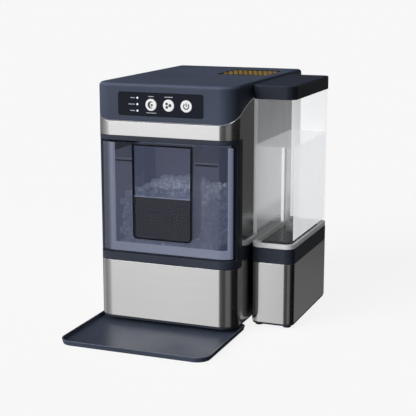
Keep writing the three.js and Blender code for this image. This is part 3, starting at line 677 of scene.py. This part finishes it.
def make_cover():
    def line(inset):
        return cabinet_line(inset, side_stops=SIDE_STOPS)

    profile = [
        (2.5, HEIGHT - COVER_ROOF),
        (2.5, lambda x, y: seam(x, y) + SEAM_GAP),
        (0.8, lambda x, y: seam(x, y) + SEAM_GAP),
        (0.8, lambda x, y: seam(x, y) + 0.9),
        (0, lambda x, y: seam(x, y) + 1.6),
        *rounded(0, HEIGHT - COVER_ROUND, COVER_ROUND, HEIGHT, 7),
    ]
    cover = to_object("cover", plan_solid(line, profile))
    gap = 0.4
    low, high = local_box("control_panel")
    seat = rounded_box(low.x - gap, low.z - gap, high.x + gap, high.z + gap, PANEL_ROUND + gap)
    gap = 0.3
    low, high = local_box("vent_grille")
    well = rounded_box(low.x - gap, low.y - gap, high.x + gap, high.y + gap, 4)
    cut_away(cover, raised(seat, -9, 9), slab(well, HEIGHT - 20, HEIGHT + 9))
    finished(cover, COVER_PLASTIC, "cabinet", ["top_cover"], edge=0.5)

    def on_top(side):
        return side.normal.z > 0.93 and from_corner(side).z > HEIGHT - 0.5

    def on_rounding(side):
        return 0.35 < side.normal.z < 0.93 and from_corner(side).y < CORNER

    # Painted light on the top faces, painted highlights on the front rounding and along the seam.
    coat_where(cover, LIT_COVER_TOP, on_top)
    coat_where(cover, COVER_ROUNDING_HIGHLIGHT, on_rounding)
    coat_where(cover, COVER_HIGHLIGHT_LINE, lambda side: along_seam(from_corner(side)))


def make_frame():
    opening_turn = math.degrees(math.acos((CORNER - OPENING_END) / CORNER))
    front = [point for point in cabinet_line(0, extra=[opening_turn]) if point[1] <= CORNER + 0.01]
    line = [(0, FRAME_END, -1, 0), *front, (WIDTH, FRAME_END, 1, 0)]

    def keep(i, k):
        return k != 1 or max(line[i][1], line[i + 1][1]) > OPENING_END + 0.1

    bm = sheet_along(line, lambda x, y: FRAME_LEVELS, FRAME_DEPTH, keep)
    piece("drawer_surround", bm, FRAME_PLASTIC, "cabinet", ["drawer_frame"], edge=0.7)


def arc_band(x, z, radius, width, start, end, steps=24):
    """The outline of part of a ring, in degrees."""
    outer, inner = [arc(x, z, reach, start, end, steps) for reach in (radius + width / 2, radius - width / 2)]
    return outer + inner[::-1]


def make_panel():
    low, high = local_box("control_panel")
    plate = to_object("touch_panel", raised(rounded_box(low.x, low.z, high.x, high.z, PANEL_ROUND), 0, 2))
    holes = []
    for name in BUTTONS:
        centre = middle_of(name)
        holes.append(raised(disc(centre.x, centre.z, BUTTON_HOLE), -9, 9))
    for number in (1, 2, 3):
        centre = middle_of(f"indicator_{number}")
        holes.append(raised(disc(centre.x, centre.z, LAMP_HOLE, 20), -9, 9))
        lens = spun(centre.x, centre.z, [(1.2, -0.15), (1.7, 0.15), (1.75, 2), (1.75, 5)], 20)
        piece(f"lamp_{number}", lens, LENS, "cabinet", [f"indicator_{number}"])
    cut_away(plate, *holes)
    finished(plate, PANEL_GLOSS, "cabinet", ["control_panel"], edge=0.3)


def crescent(x, z, radius):
    """A moon's outline."""
    hollow = arc(x - 0.46 * radius, z, 0.80 * radius, 100, -100, 20)
    return arc(x, z, radius, -130, 130, 20) + hollow


def grown(outline, x, z, factor=1.22):
    """An outline made larger about (x, z)."""
    return [(x + (px - x) * factor, z + (pz - z) * factor) for px, pz in outline]


def button_marks(name, x, z):
    """Generic signs: a moon, three drops and the usual power sign."""
    if name == "light_button":
        moon = [(2 * x - px, pz) for px, pz in crescent(x, z, 4.9)]
        return [moon, disc(x + 1.2, z - 0.3, 1.7, 16)]
    if name == "clean_button":
        spots = [(-2.6, 2.2, 1.9), (-2.4, -2.3, 2.0), (2.2, 0.2, 2.3)]
        return [disc(x + dx, z + dz, radius, 16) for dx, dz, radius in spots]
    stem = [(x - 0.75, z - 0.4), (x + 0.75, z - 0.4), (x + 0.75, z + 4.4), (x - 0.75, z + 4.4)]
    return [arc_band(x, z, 3.7, 1.6, 130, 410), stem]


def make_buttons():
    for name in BUTTONS:
        low, high = local_box(name)
        x, z = (low.x + high.x) / 2, (low.z + high.z) / 2
        front = low.y + 0.1
        cap = [(8.9, front), (9.6, front + 0.15), (10, front + 0.6), (10, 5.3), (12, 5.3), (12, 7)]
        piece(f"{name}_cap", spun(x, z, cap), BUTTON_WHITE, name, [name])
        outlines = [grown(outline, x, z) for outline in button_marks(name, x, z)]
        marks = [raised(outline, front - 0.08, front + 0.02) for outline in outlines]
        piece(f"{name}_mark", merged(*marks), MARK_GREY, name)


def make_labels():
    """Plain bars where words would be."""
    bars = [(76.5 - length, z - 0.7, 76.5, z + 0.7) for z, length in ((395.2, 8), (384.5, 12), (373.8, 9))]
    bars += [(101, 397.6, 110.5, 399), (130, 397.6, 145, 399), (97, 370.4, 115.5, 371.6)]
    shapes = [raised(rounded_box(*bar, 0.3, steps=2), -0.08, 0.01) for bar in bars]
    piece("panel_bars", merged(*shapes), LABEL_GREY, "cabinet")


# ---- geometry nodes ----
def node_piece(name, material, body, build, inputs, replaced=(), sharp=32):
    """Runs one geometry tree on an empty mesh and keeps its result as a plain mesh. Sizes are in metres."""
    group = bpy.data.node_groups.new(name, "GeometryNodeTree")
    group.interface.new_socket("Geometry", in_out="OUTPUT", socket_type="NodeSocketGeometry")
    kinds = {int: "NodeSocketInt", float: "NodeSocketFloat", Vector: "NodeSocketVector"}
    sockets = {}
    for key, value in inputs.items():
        socket = group.interface.new_socket(key, in_out="INPUT", socket_type=kinds[type(value)])
        sockets[key] = socket.identifier
    tree = Tree(group)
    entry = group.nodes.new("NodeGroupInput")
    given = {key: Value(tree, entry.outputs[key]) for key in inputs}
    solid = tree.add("GeometryNodeRealizeInstances", inputs={"Geometry": build(tree, given)})
    coated = tree.add("GeometryNodeSetMaterial", inputs={"Geometry": solid, "Material": material})
    leave = group.nodes.new("NodeGroupOutput")
    group.links.new(coated.socket, leave.inputs[0])
    thing = put(name, bpy.data.meshes.new(name))
    modifier = thing.modifiers.new(name, "NODES")
    modifier.node_group = group
    for key, identifier in sockets.items():
        modifier[identifier] = inputs[key]
    flattened(thing)
    return finished(thing, material, body, replaced, sharp=sharp)


def vector(tree, x, y, z):
    return tree.add("ShaderNodeCombineXYZ", inputs={0: x, 1: y, 2: z})


def split(tree, value):
    """The x, y and z of a vector."""
    parts = tree.add("ShaderNodeSeparateXYZ", inputs={0: value})
    return [Value(tree, parts.socket.node.outputs[i]) for i in range(3)]


def whole_part(value, step):
    return (value / step).maths("FLOOR")


LONG_CELL = {"Rotation": (0, 0, math.radians(30)), "Scale": (1, 1.6, 1)}


def hexagon_centres(tree, given):
    """Points in staggered rows."""
    index = tree.add("GeometryNodeInputIndex")
    row = whole_part(index, given["Columns"])
    column = index - row * given["Columns"]
    odd = (row + given["First row"]).maths("MODULO", 2.0)
    across, back, up = split(tree, given["Corner"])
    x = across + (column + odd * 0.5) * given["Pitch"]
    y = back + row * given["Row step"]
    settings = {"Count": given["Count"], "Position": vector(tree, x, y, up)}
    return tree.add("GeometryNodePoints", inputs=settings)


def on_points(tree, points, instance, **more):
    """Copies of one shape on points."""
    return tree.add("GeometryNodeInstanceOnPoints", inputs={"Points": points, "Instance": instance} | more)


def honeycomb(tree, given):
    """The walls of hexagonal cells."""
    ring = tree.add("GeometryNodeMeshCircle", inputs={"Vertices": 6, "Radius": given["Radius"]})
    turned = tree.add("GeometryNodeTransform", inputs={"Geometry": ring} | LONG_CELL)
    path = tree.add("GeometryNodeMeshToCurve", inputs={"Mesh": turned})
    section = tree.add(
        "GeometryNodeCurvePrimitiveQuadrilateral",
        inputs={"Width": given["Wall"], "Height": given["Height"]},
    )
    cell = tree.add("GeometryNodeCurveToMesh", inputs={"Curve": path, "Profile Curve": section})
    return on_points(tree, hexagon_centres(tree, given), cell)


def screen_cells(tree, given):
    """The pieces of screen that fill the cells."""
    plate = tree.add(
        "GeometryNodeMeshCylinder",
        inputs={"Vertices": 6, "Radius": given["Radius"], "Depth": given["Height"]},
    )
    turned = tree.add("GeometryNodeTransform", inputs={"Geometry": plate} | LONG_CELL)
    return on_points(tree, hexagon_centres(tree, given), turned)


def make_vent():
    low, high = local_box("vent_grille")
    pitch, columns, rows = 9.6, 9, 8
    width = (columns + 0.5) * pitch
    row_step = pitch * math.cos(math.radians(30)) * LONG_CELL["Scale"][1]
    left = (low.x + high.x - width + pitch) / 2
    front = (low.y + high.y - (rows - 1) * row_step) / 2
    walls = {
        "Columns": columns,
        "First row": 0,
        "Count": columns * rows,
        "Pitch": pitch / 1000,
        "Row step": row_step / 1000,
        "Radius": pitch / math.sqrt(3) / 1000 * 0.95,
        "Wall": 0.0006,
        "Height": 0.0005,
        "Corner": place(left, front, HEIGHT - 0.75),
    }
    node_piece("vent_honeycomb", BLACK_PLASTIC, "cabinet", honeycomb, walls, ["vent_grille"])
    cells = walls | {
        "First row": 1,
        "Count": columns * (rows - 2),
        "Radius": pitch / math.sqrt(3) / 1000 * 1.01,
        "Height": 0.0004,
        "Corner": place(left, front + row_step, HEIGHT - 0.95),
    }
    del cells["Wall"]
    node_piece("vent_mesh", SCREEN, "cabinet", screen_cells, cells, ["vent_screen"])

    rim = [(0, HEIGHT - 2), (0, HEIGHT - 0.5), (1.2, HEIGHT - 0.5), (1.2, HEIGHT - 2)]
    rim = plan_solid(line_round("vent_grille", 3.7, 3.7, 6), rim, closed=True)
    piece("vent_rim", rim, FRAME_PLASTIC, "cabinet", edge=0.2)


def shaken_vector(tree, low, high, seed):
    """A random vector for each point."""
    settings = {"Min": low, "Max": high, "Seed": seed}
    return tree.add("FunctionNodeRandomValue", {"data_type": "FLOAT_VECTOR"}, settings)


def lattice(tree, given):
    """Points in layers, each layer shifted against the last, all shaken out of line."""
    index = tree.add("GeometryNodeInputIndex")
    layer_size = given["Columns"] * given["Rows"]
    layer = whole_part(index, layer_size)
    in_layer = index - layer * layer_size
    row = whole_part(in_layer, given["Columns"])
    column = in_layer - row * given["Columns"]
    left, front, bottom = split(tree, given["Corner"])
    step = given["Step"]
    shift = layer.maths("MODULO", 2.0) * 0.4
    x = left + (column + shift) * step
    y = front + (row + shift) * step
    z = bottom + layer * step * 0.86
    shake = shaken_vector(tree, (-0.0035, -0.0035, -0.003), (0.0035, 0.0035, 0.003), given["Seed"])
    spot = tree.add("ShaderNodeVectorMath", {"operation": "ADD"}, {0: vector(tree, x, y, z), 1: shake})
    return tree.add("GeometryNodePoints", inputs={"Count": given["Count"], "Position": spot})


def left_out(tree, given, here):
    """Whether a point is above the ice's uneven surface, or where the pull pocket is."""
    at_x, at_y, at_z = split(tree, here)
    hills = tree.add("ShaderNodeTexNoise", inputs={"Vector": here, "Scale": 9.0, "Detail": 1.0})
    too_high = at_z.maths("GREATER_THAN", given["Top"] + (hills - 0.5) * 0.11)
    by_pocket = (at_x - given["Pocket x"]).maths("ABSOLUTE").maths("LESS_THAN", given["Pocket half width"])
    in_pocket = (
        by_pocket
        * at_y.maths("LESS_THAN", given["Pocket back"])
        * at_z.maths("GREATER_THAN", given["Pocket bottom"])
    )
    return (too_high + in_pocket).maths("GREATER_THAN", 0.5)


def lumpy_ball(tree, given, here):
    """One nugget."""
    ball = tree.add("GeometryNodeMeshIcoSphere", inputs={"Radius": given["Step"] * 0.50, "Subdivisions": 2})
    away = tree.add("GeometryNodeInputNormal")
    lump = tree.add("ShaderNodeTexNoise", inputs={"Vector": here, "Scale": 190.0, "Detail": 2.0})
    push = tree.add("ShaderNodeVectorMath", {"operation": "SCALE"}, {0: away, "Scale": (lump - 0.5) * 0.006})
    return tree.add("GeometryNodeSetPosition", inputs={"Geometry": ball, "Offset": push})


def nuggets(tree, given):
    """Nuggets turned and sized at random, where the ice lies."""
    here = tree.add("GeometryNodeInputPosition")
    sorting = {"Geometry": lattice(tree, given), "Selection": left_out(tree, given, here)}
    kept = tree.add("GeometryNodeDeleteGeometry", inputs=sorting)
    turn = shaken_vector(tree, (0, 0, 0), (6.28, 6.28, 6.28), 7)
    size = shaken_vector(tree, (0.8, 0.8, 0.9), (1.0, 1.0, 1.25), 11)
    return on_points(tree, kept, lumpy_ball(tree, given, here), Rotation=turn, Scale=size)


def make_ice():
    low, high = local_box("ice_bin")
    pocket_low, pocket_high = local_box("pull_pocket")
    step = 13.2
    start = Vector((low.x + 25, 21, low.z + 10))
    columns = int((high.x - 19 - start.x) / step)
    rows = int((high.y - 12 - start.y) / step)
    layers = 9
    clearance = 8.5
    middle_x = middle_of("pull_pocket").x
    middle = place(middle_x, pocket_high.y + clearance, pocket_low.z - clearance)
    sizes = {
        "Columns": columns,
        "Rows": rows,
        "Count": columns * rows * layers,
        "Step": step / 1000,
        "Corner": place(*start),
        "Seed": 3,
        "Top": 0.232,
        "Pocket x": middle.x,
        "Pocket half width": (pocket_high.x - pocket_low.x) / 2000 + clearance / 1000,
        "Pocket back": middle.y,
        "Pocket bottom": middle.z,
    }
    node_piece("ice_nuggets", ICE, "drawer", nuggets, sizes, sharp=80)


# ---- drawer ----
def pull_outline(inset):
    """Front view of the finger pull, with rounded lower corners."""
    low, high = local_box("pull_pocket")
    z0, z1 = low.z + inset, high.z - inset
    radius = max(7 - inset, 1)
    left, right = low.x + inset, high.x - inset
    lean = 1.6
    left_round = arc(left + radius + lean * 0.4, z0 + radius, radius, 180, 270, 8)
    right_round = arc(right - radius - lean, z0 + radius, radius, 270, 360, 8)
    return [*left_round, *right_round, (right, z1), (left, z1)]


def plain_bar(x0, z0, x1, z1, y0, y1):
    """A plain bar, with its two faces at y0 and y1."""
    return raised([(x0, z0), (x1, z0), (x1, z1), (x0, z1)], y0, y1)


def make_pull():
    low, high = local_box("pull_pocket")
    mouth, wall = 6.0, 2

    def rings(corners):
        return [[(x, y, z) for x, z in pull_outline(inset)] for y, inset in corners]

    cup = rings(((high.y - wall, wall), (mouth, wall), (mouth, 0), (high.y, 0)))
    piece("pull_cup", stacked(cup), DARK_SMOKE, "drawer", ["pull_pocket"], edge=0.4)
    rim = rings(((5.8, 0), (0.25, 0), (0.25, 2.2), (5.8, 2.2)))
    # Painted shade: a dark ring round the pull's opening.
    piece("pull_edge", stacked(rim, closed=True), SHADE_LINE, "drawer")
    left, right = low.x + PULL_EDGE, high.x - PULL_EDGE
    # Painted highlight: a pale line along the top of the pull's lip.
    lip = plain_bar(left, PULL_LIP - 0.6, right, PULL_LIP + 0.5, 0.4, 3.8)
    piece("pull_lip", lip, HIGHLIGHT_SMOKE, "drawer", edge=0.2)
    # Painted shade: the cup's lower front wall is dark and nearly opaque.
    front = plain_bar(left, low.z + PULL_EDGE, right, PULL_LIP - 1, 4.3, 5.5)
    piece("pull_front", front, SHADE_SMOKE, "drawer", edge=0.2)


def make_tub_rim():
    """A painted highlight along the top of the tub's front wall, over a painted shade line, left and right of
    the pull.
    """
    low, high = local_box("pull_pocket")
    sides = ((34, low.x - PULL_EDGE), (high.x + PULL_EDGE, 220))
    for name, z0, z1, material in (("tub_rim", 288, 291, HIGHLIGHT_SMOKE), ("tub_groove", 285.2, 288, SHADE_LINE)):
        bars = [plain_bar(x0, z0, x1, z1, 9.6, 11.2) for x0, x1 in sides]
        piece(name, merged(*bars), material, "drawer", edge=0.2)


def make_window():
    low, high = local_box("drawer_front")
    pocket_low, pocket_high = local_box("pull_pocket")
    top = pocket_high.z - 2
    hole = (pocket_low.x + PULL_EDGE, pocket_high.x - PULL_EDGE)
    inset = 0.4
    end_turn = math.degrees(math.acos((CORNER - high.y) / (CORNER - inset)))
    line = cabinet_line(inset, front_stops=hole, extra=[end_turn])
    line = [point for point in line if point[1] <= high.y + 0.01]

    def keep(i, k):
        middle = (line[i][0] + line[i + 1][0]) / 2
        return k != 1 or not hole[0] < middle < hole[1]

    bm = sheet_along(line, lambda x, y: [low.z, PULL_LIP, top, high.z], 3.5, keep)
    piece("drawer_window", bm, SMOKE, "drawer", ["drawer_front"], edge=0.5)


def make_bars():
    low, high = local_box("bin_frame")
    wide, narrow = 33, 14
    line = cabinet_line(4.2, front_stops=(wide, WIDTH - wide))
    line = [point for point in line if point[1] <= high.y]

    def keep(i, k):
        middle = (line[i][0] + line[i + 1][0]) / 2
        return k == 0 or middle < wide or middle > WIDTH - narrow

    # Painted light: pale glowing bars at the sides and along the bottom of the window.
    bm = sheet_along(line, lambda x, y: [low.z, 144, high.z], 6.5, keep)
    piece("light_bars", bm, LIT_BAR_SMOKE, "drawer", ["bin_frame"], edge=0.6)


# ---- drip tray ----
def make_tray():
    top = local_box("drip_tray")[1].z
    profile = [
        (2.2, 0),
        *rounded(0, top - 1.3, 1.3, top, 4),
        *rounded(1.3, top, 2.4, top - 1.1, 3, bulge_out=False),
        (3.0, 3.6),
        (3.5, 2.5),
        (5.2, 1.8),
    ]
    bowl = plan_solid(line_round("drip_tray", 24, 9, 12), profile)
    tray = piece("tray", bowl, TRAY_PLASTIC, "drip_tray", ["drip_tray"])
    # Painted highlight: the lip's top faces are lighter.
    coat_where(tray, TRAY_LIP_HIGHLIGHT, lambda side: side.normal.z > 0.5 and side.center.z * 1000 > top - 0.7)
    tray.visible_glossy = False


# ---- side tank ----
def make_lid():
    top = local_box("tank_lid")[1].z
    profile = [
        (3, top - 3), (3, LID_BOTTOM), (0.3, LID_BOTTOM), (0, LID_BOTTOM + 0.3),
        *rounded(0, top - 2.4, 2.4, top, 5),
    ]
    lid = piece("lid", plan_solid(tank_line, profile), LID_PLASTIC, "tank_lid", ["tank_lid"])
    # Painted light: the upward faces are lighter.
    coat_where(lid, LIT_LID_TOP, lambda side: side.normal.z > 0.5)


def make_vessel():
    z0, z1 = (corner.z for corner in local_box("tank_glass"))
    profile = [(5.3, z0 + 3.5), (3.3, z0 + 5.5), (3.3, z1), (0.8, z1), (0.8, z0 + 2), (2.8, z0)]
    wall = plan_solid(tank_line, profile)
    tank = piece("tank_vessel", wall, CLEAR, "water_tank", ["tank_glass"], edge=0.3)
    middle = place(*middle_of("tank_glass"))
    # Painted light on the left and rear walls.
    coat_where(tank, GLOWING_LEFT_WALL, lambda side: side.normal.x < -0.25 and side.center.x < middle.x)
    coat_where(tank, GLOWING_REAR_WALL, lambda side: side.normal.y > 0.9 and side.center.y > middle.y)
    tank.visible_glossy = False


def water_line(inset):
    """The tank's line, cut where the painted highlight strip and the painted shade strip of the water's front
    begin and end.
    """
    points = tank_line(inset)
    edge = min(point[1] for point in points)
    at = max(i for i, point in enumerate(points) if point[1] < edge + 0.001 and point[0] < GLEAM[0])
    return [*points[: at + 1], *((x, edge, 0, -1) for x in GLEAM), *points[at + 1 :]]


def coat_strip(thing, material, left, right):
    """Coats the front between two distances across."""

    def within(side):
        return side.normal.y < -0.99 and left < from_corner(side).x < right

    coat_where(thing, material, within)


def make_water():
    bottom = local_box("tank_glass")[0].z
    profile = [(5.1, bottom + 3.2), (3.1, bottom + 5.4), (3.1, WATER_LEVEL), (4.5, WATER_LEVEL - 0.6)]
    water = piece("water", plan_solid(water_line, profile), WATER, "water_tank")
    # Painted light on the right side, a painted highlight strip and a painted shade strip across the front.
    coat_where(water, WATER_SIDE, lambda side: side.normal.x > 0.95)
    coat_strip(water, WATER_GLEAM, GLEAM[0], GLEAM[1])
    coat_strip(water, WATER_SHADE, GLEAM[1], GLEAM[2])
    water.visible_glossy = False


def make_band(name, node, outer, inner, material, body, edge):
    """A closed band as high as its CAD node, between two insets of the tank's plan line."""
    low, high = local_box(node)
    profile = [(outer, low.z), (outer, high.z), (inner, high.z), (inner, low.z)]
    piece(name, plan_solid(tank_line, profile, closed=True), material, body, [node], edge=edge)


def make_collar():
    top = local_box("base_collar")[1].z
    profile = [
        (3, top - 7), (3, COLLAR_BOTTOM), (0, COLLAR_BOTTOM),
        *rounded(0, top - 0.8, 0.8, top, 3),
        (6.5, top), (8, top - 1), (9.5, top - 4), (11.5, top - 4.4),
    ]
    collar = to_object("collar", plan_solid(tank_line, profile))
    valve = middle_of("tank_valve")
    cut_away(collar, slab(disc(valve.x, valve.y, 16, 40), 100, 150))
    finished(collar, FRAME_PLASTIC, "cabinet", ["base_collar"])
    # Painted shade: the recess floor inside the collar is darker.
    coat_where(collar, DARK_LINER_AND_SHADE, lambda side: side.normal.z > 0.7 and from_corner(side).z < top - 0.5)


def make_tank():
    make_lid()
    make_vessel()
    make_water()
    make_band("seal_ring", "tank_rim", 0.4, 6, PALE_GASKET, "water_tank", 0.8)
    make_collar()
    make_band("base_wrap", "tank_base_wrap", 0, SHEET, STEEL, "cabinet", 0.25)


# ---- the CAD nodes that show as they are ----
FEET = ["foot_front_left", "foot_front_right", "foot_rear_left", "foot_rear_right"]
SCREWS = ["rear_screw_1", "rear_screw_2", "rear_screw_3", "rear_screw_4"]
KEPT = [
    (SOLDER_MASK, ["display_board", "main_board"]),
    (DARK_LINER_AND_SHADE, ["bin_liner"]),
    (GREY_PLASTIC, ["drawer_rail_left", "drawer_rail_right", "drive_gear", "extrusion_head", "ice_chute"]),
    (GREY_PLASTIC, ["fan_rotor", "tank_valve"]),
    (FRAME_PLASTIC, ["base_pan", "tank_base_floor"]),
    (RUBBER, [*FEET, "drain_cap", "water_coupling"]),
    (REAR_PAINT, ["rear_panel"]),
    (ZINC, [*SCREWS, "compressor_bracket"]),
    (BLACK_PLASTIC, ["power_inlet", "fan_shroud", "transfer_pump"]),
    (CAST_METAL, ["auger", "gearbox_case", "motor_pinion"]),
    (STEEL, ["auger_barrel"]),
    (COPPER, ["evaporator_coil"]),
    (BLACK_ENAMEL, ["gear_motor", "compressor", "fan_motor"]),
    (FINS, ["condenser"]),
    (WHITE_PLASTIC, ["reservoir"]),
    (LENS, ["led_strip"]),
    (TUB_SMOKE, ["ice_bin"]),
]


def coat_kept_nodes():
    for material, names in KEPT:
        for name in names:
            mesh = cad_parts[name].data
            mesh.materials.clear()
            mesh.materials.append(material)


# ---- studio ----
CAMERA_AT = (848.8, -1651.9, 595.1)
CAMERA_LENS = 94.78
CAMERA_TILT = 12.02
CAMERA_TURN = 21.23
BACKDROP = 0.93
BAY_LIGHT = 0.035
# How bright the ring of light is at turns of 0 to 1 about the machine. 0.25 is on its left, 0.5 straight
# before it, 0.75 on its right, 0 or 1 behind it. The steel mirrors the first, the second lights the plastics.
MIRRORED = [
    (0.00, 0.02), (0.11, 0.02), (0.16, 0.26), (0.25, 0.28), (0.312, 0.36),
    (0.37, 0.48), (0.415, 0.86), (0.432, 1.02), (0.445, 1.08), (0.456, 0.86),
    (0.469, 0.25), (0.48, 0.11), (0.565, 0.05), (0.60, 0.19), (0.665, 0.16),
    (0.70, 0.01), (0.84, 0.002), (0.885, 0.01), (0.915, 0.09), (0.96, 0.09),
    (0.985, 0.02),
]
SHINING = [
    (0.00, 0.26), (0.25, 0.45), (0.44, 0.64), (0.52, 0.30), (0.60, 0.06),
    (0.78, 0.05), (0.90, 0.20), (1.00, 0.26),
]


def make_world():
    """A studio of soft panels and dark flags. Mirrors, plastics and the camera each see it differently."""
    world = bpy.data.worlds.new("studio")
    SCENE.world = world
    world.use_nodes = True
    tree = Tree(world.node_tree)
    world.node_tree.nodes.clear()
    way = tree.add("ShaderNodeTexCoord", output=0)
    x, y, z = split(tree, way)
    around = x.maths("ARCTAN2", -y) / (2 * math.pi) + 0.5

    def ring(stops):
        greys = [(at, (value, value, value)) for at, value in stops]
        return tree.add("ShaderNodeValToRGB", {"stops": greys}, {0: around})

    mirrored = ring(MIRRORED)
    in_front = tree.spread(y, -0.2, 0.2, 1, 0)
    ahead = tree.spread(z, -0.27, -0.15, 0.80, 1.10)
    behind = tree.spread(z, -0.27, -0.20, 1.7, 0.8)
    low_gain = tree.mix(in_front, vector(tree, behind, behind, behind), vector(tree, ahead, ahead, ahead))
    glossy = tree.add("ShaderNodeVectorMath", {"operation": "MULTIPLY"}, {0: mirrored, 1: low_gain})
    horizon = tree.spread(z, -0.06, -0.02, 0, 1) * tree.spread(z, 0.03, 0.08, 1, 0)
    glossy = tree.mix(horizon, glossy, (0.42, 0.42, 0.43, 1))
    roof = tree.spread(z, 0.25, 0.7, 0, 1) * in_front
    glossy = tree.mix(roof, glossy, (0.9, 0.9, 0.92, 1))
    overhead = tree.spread(z, 0.3, 0.9, 0, 1)
    diffuse = tree.mix(overhead, ring(SHINING), (0.20, 0.21, 0.235, 1))
    camera_ray = tree.add("ShaderNodeLightPath", output=0)
    glossy_ray = tree.add("ShaderNodeLightPath", output=3)
    room = tree.mix(glossy_ray, diffuse, glossy)
    colour = tree.mix(camera_ray, room, (BACKDROP, BACKDROP, BACKDROP, 1))
    background = tree.add("ShaderNodeBackground", inputs={"Color": colour, "Strength": 1.0})
    output = world.node_tree.nodes.new("ShaderNodeOutputWorld")
    world.node_tree.links.new(background.socket, output.inputs["Surface"])


def make_floor():
    bm = bmesh.new()
    bmesh.ops.create_grid(bm, x_segments=1, y_segments=1, size=40)
    mesh = bpy.data.meshes.new("floor")
    bm.to_mesh(mesh)
    bm.free()
    floor = put("floor", mesh)
    floor.location.z = -0.0005
    f = Finish("pale_floor")
    specks = f.noise(3, detail=2)
    base = f.mix(specks, (0.12, 0.12, 0.12, 1), (0.13, 0.13, 0.13, 1))
    glow = {"Emission_Color": (0.862, 0.862, 0.862), "Emission_Strength": 1.0}
    surface = f.surface(Base_Color=base, Roughness=0.9, Specular_IOR_Level=0.0, **glow)
    mesh.materials.append(f.done(surface))
    floor.visible_glossy = False
    floor.visible_diffuse = False


def make_panel_light(name, where, width, depth, power, colour):
    """A soft rectangular light that shines straight down."""
    lamp = bpy.data.lights.new(name, "AREA")
    lamp.shape = "RECTANGLE"
    lamp.size, lamp.size_y = width / 1000, depth / 1000
    lamp.energy = power
    lamp.color = colour
    thing = put(name, lamp)
    thing.location = place(*where)
    thing.visible_camera = False
    thing.visible_glossy = False


def make_lights():
    low, high = local_box("led_strip")
    middle = ((low.x + high.x) / 2, (low.y + high.y) / 2, low.z - 1)
    make_panel_light("bay_light", middle, high.x - low.x, 20, BAY_LIGHT, (0.86, 0.91, 1.0))
    make_sun("key", -35, 25, 2.45, 50)


def make_sun(name, azimuth, elevation, strength, softness):
    """A soft sun. Azimuth 0 shines from the front, and 90 from the machine's right."""
    lamp = bpy.data.lights.new(name, "SUN")
    lamp.energy = strength
    lamp.angle = math.radians(softness)
    a, e = math.radians(azimuth), math.radians(elevation)
    source = Vector((math.sin(a) * math.cos(e), -math.cos(a) * math.cos(e), math.sin(e)))
    put(name, lamp).rotation_euler = source.to_track_quat("Z", "Y").to_euler()


def make_camera():
    lens = bpy.data.cameras.new("camera")
    lens.lens = CAMERA_LENS
    lens.clip_end = 200
    camera = put("camera", lens)
    camera.location = place(*CAMERA_AT)
    camera.rotation_euler = (math.radians(90 - CAMERA_TILT), 0, math.radians(CAMERA_TURN))
    SCENE.camera = camera


make_shell()
make_cover()
make_frame()
make_panel()
make_buttons()
make_labels()
make_vent()
make_window()
make_bars()
make_pull()
make_tub_rim()
make_ice()
make_tray()
make_tank()
coat_kept_nodes()
make_world()
make_floor()
make_lights()
make_camera()
SCENE.view_settings.view_transform = "Standard"
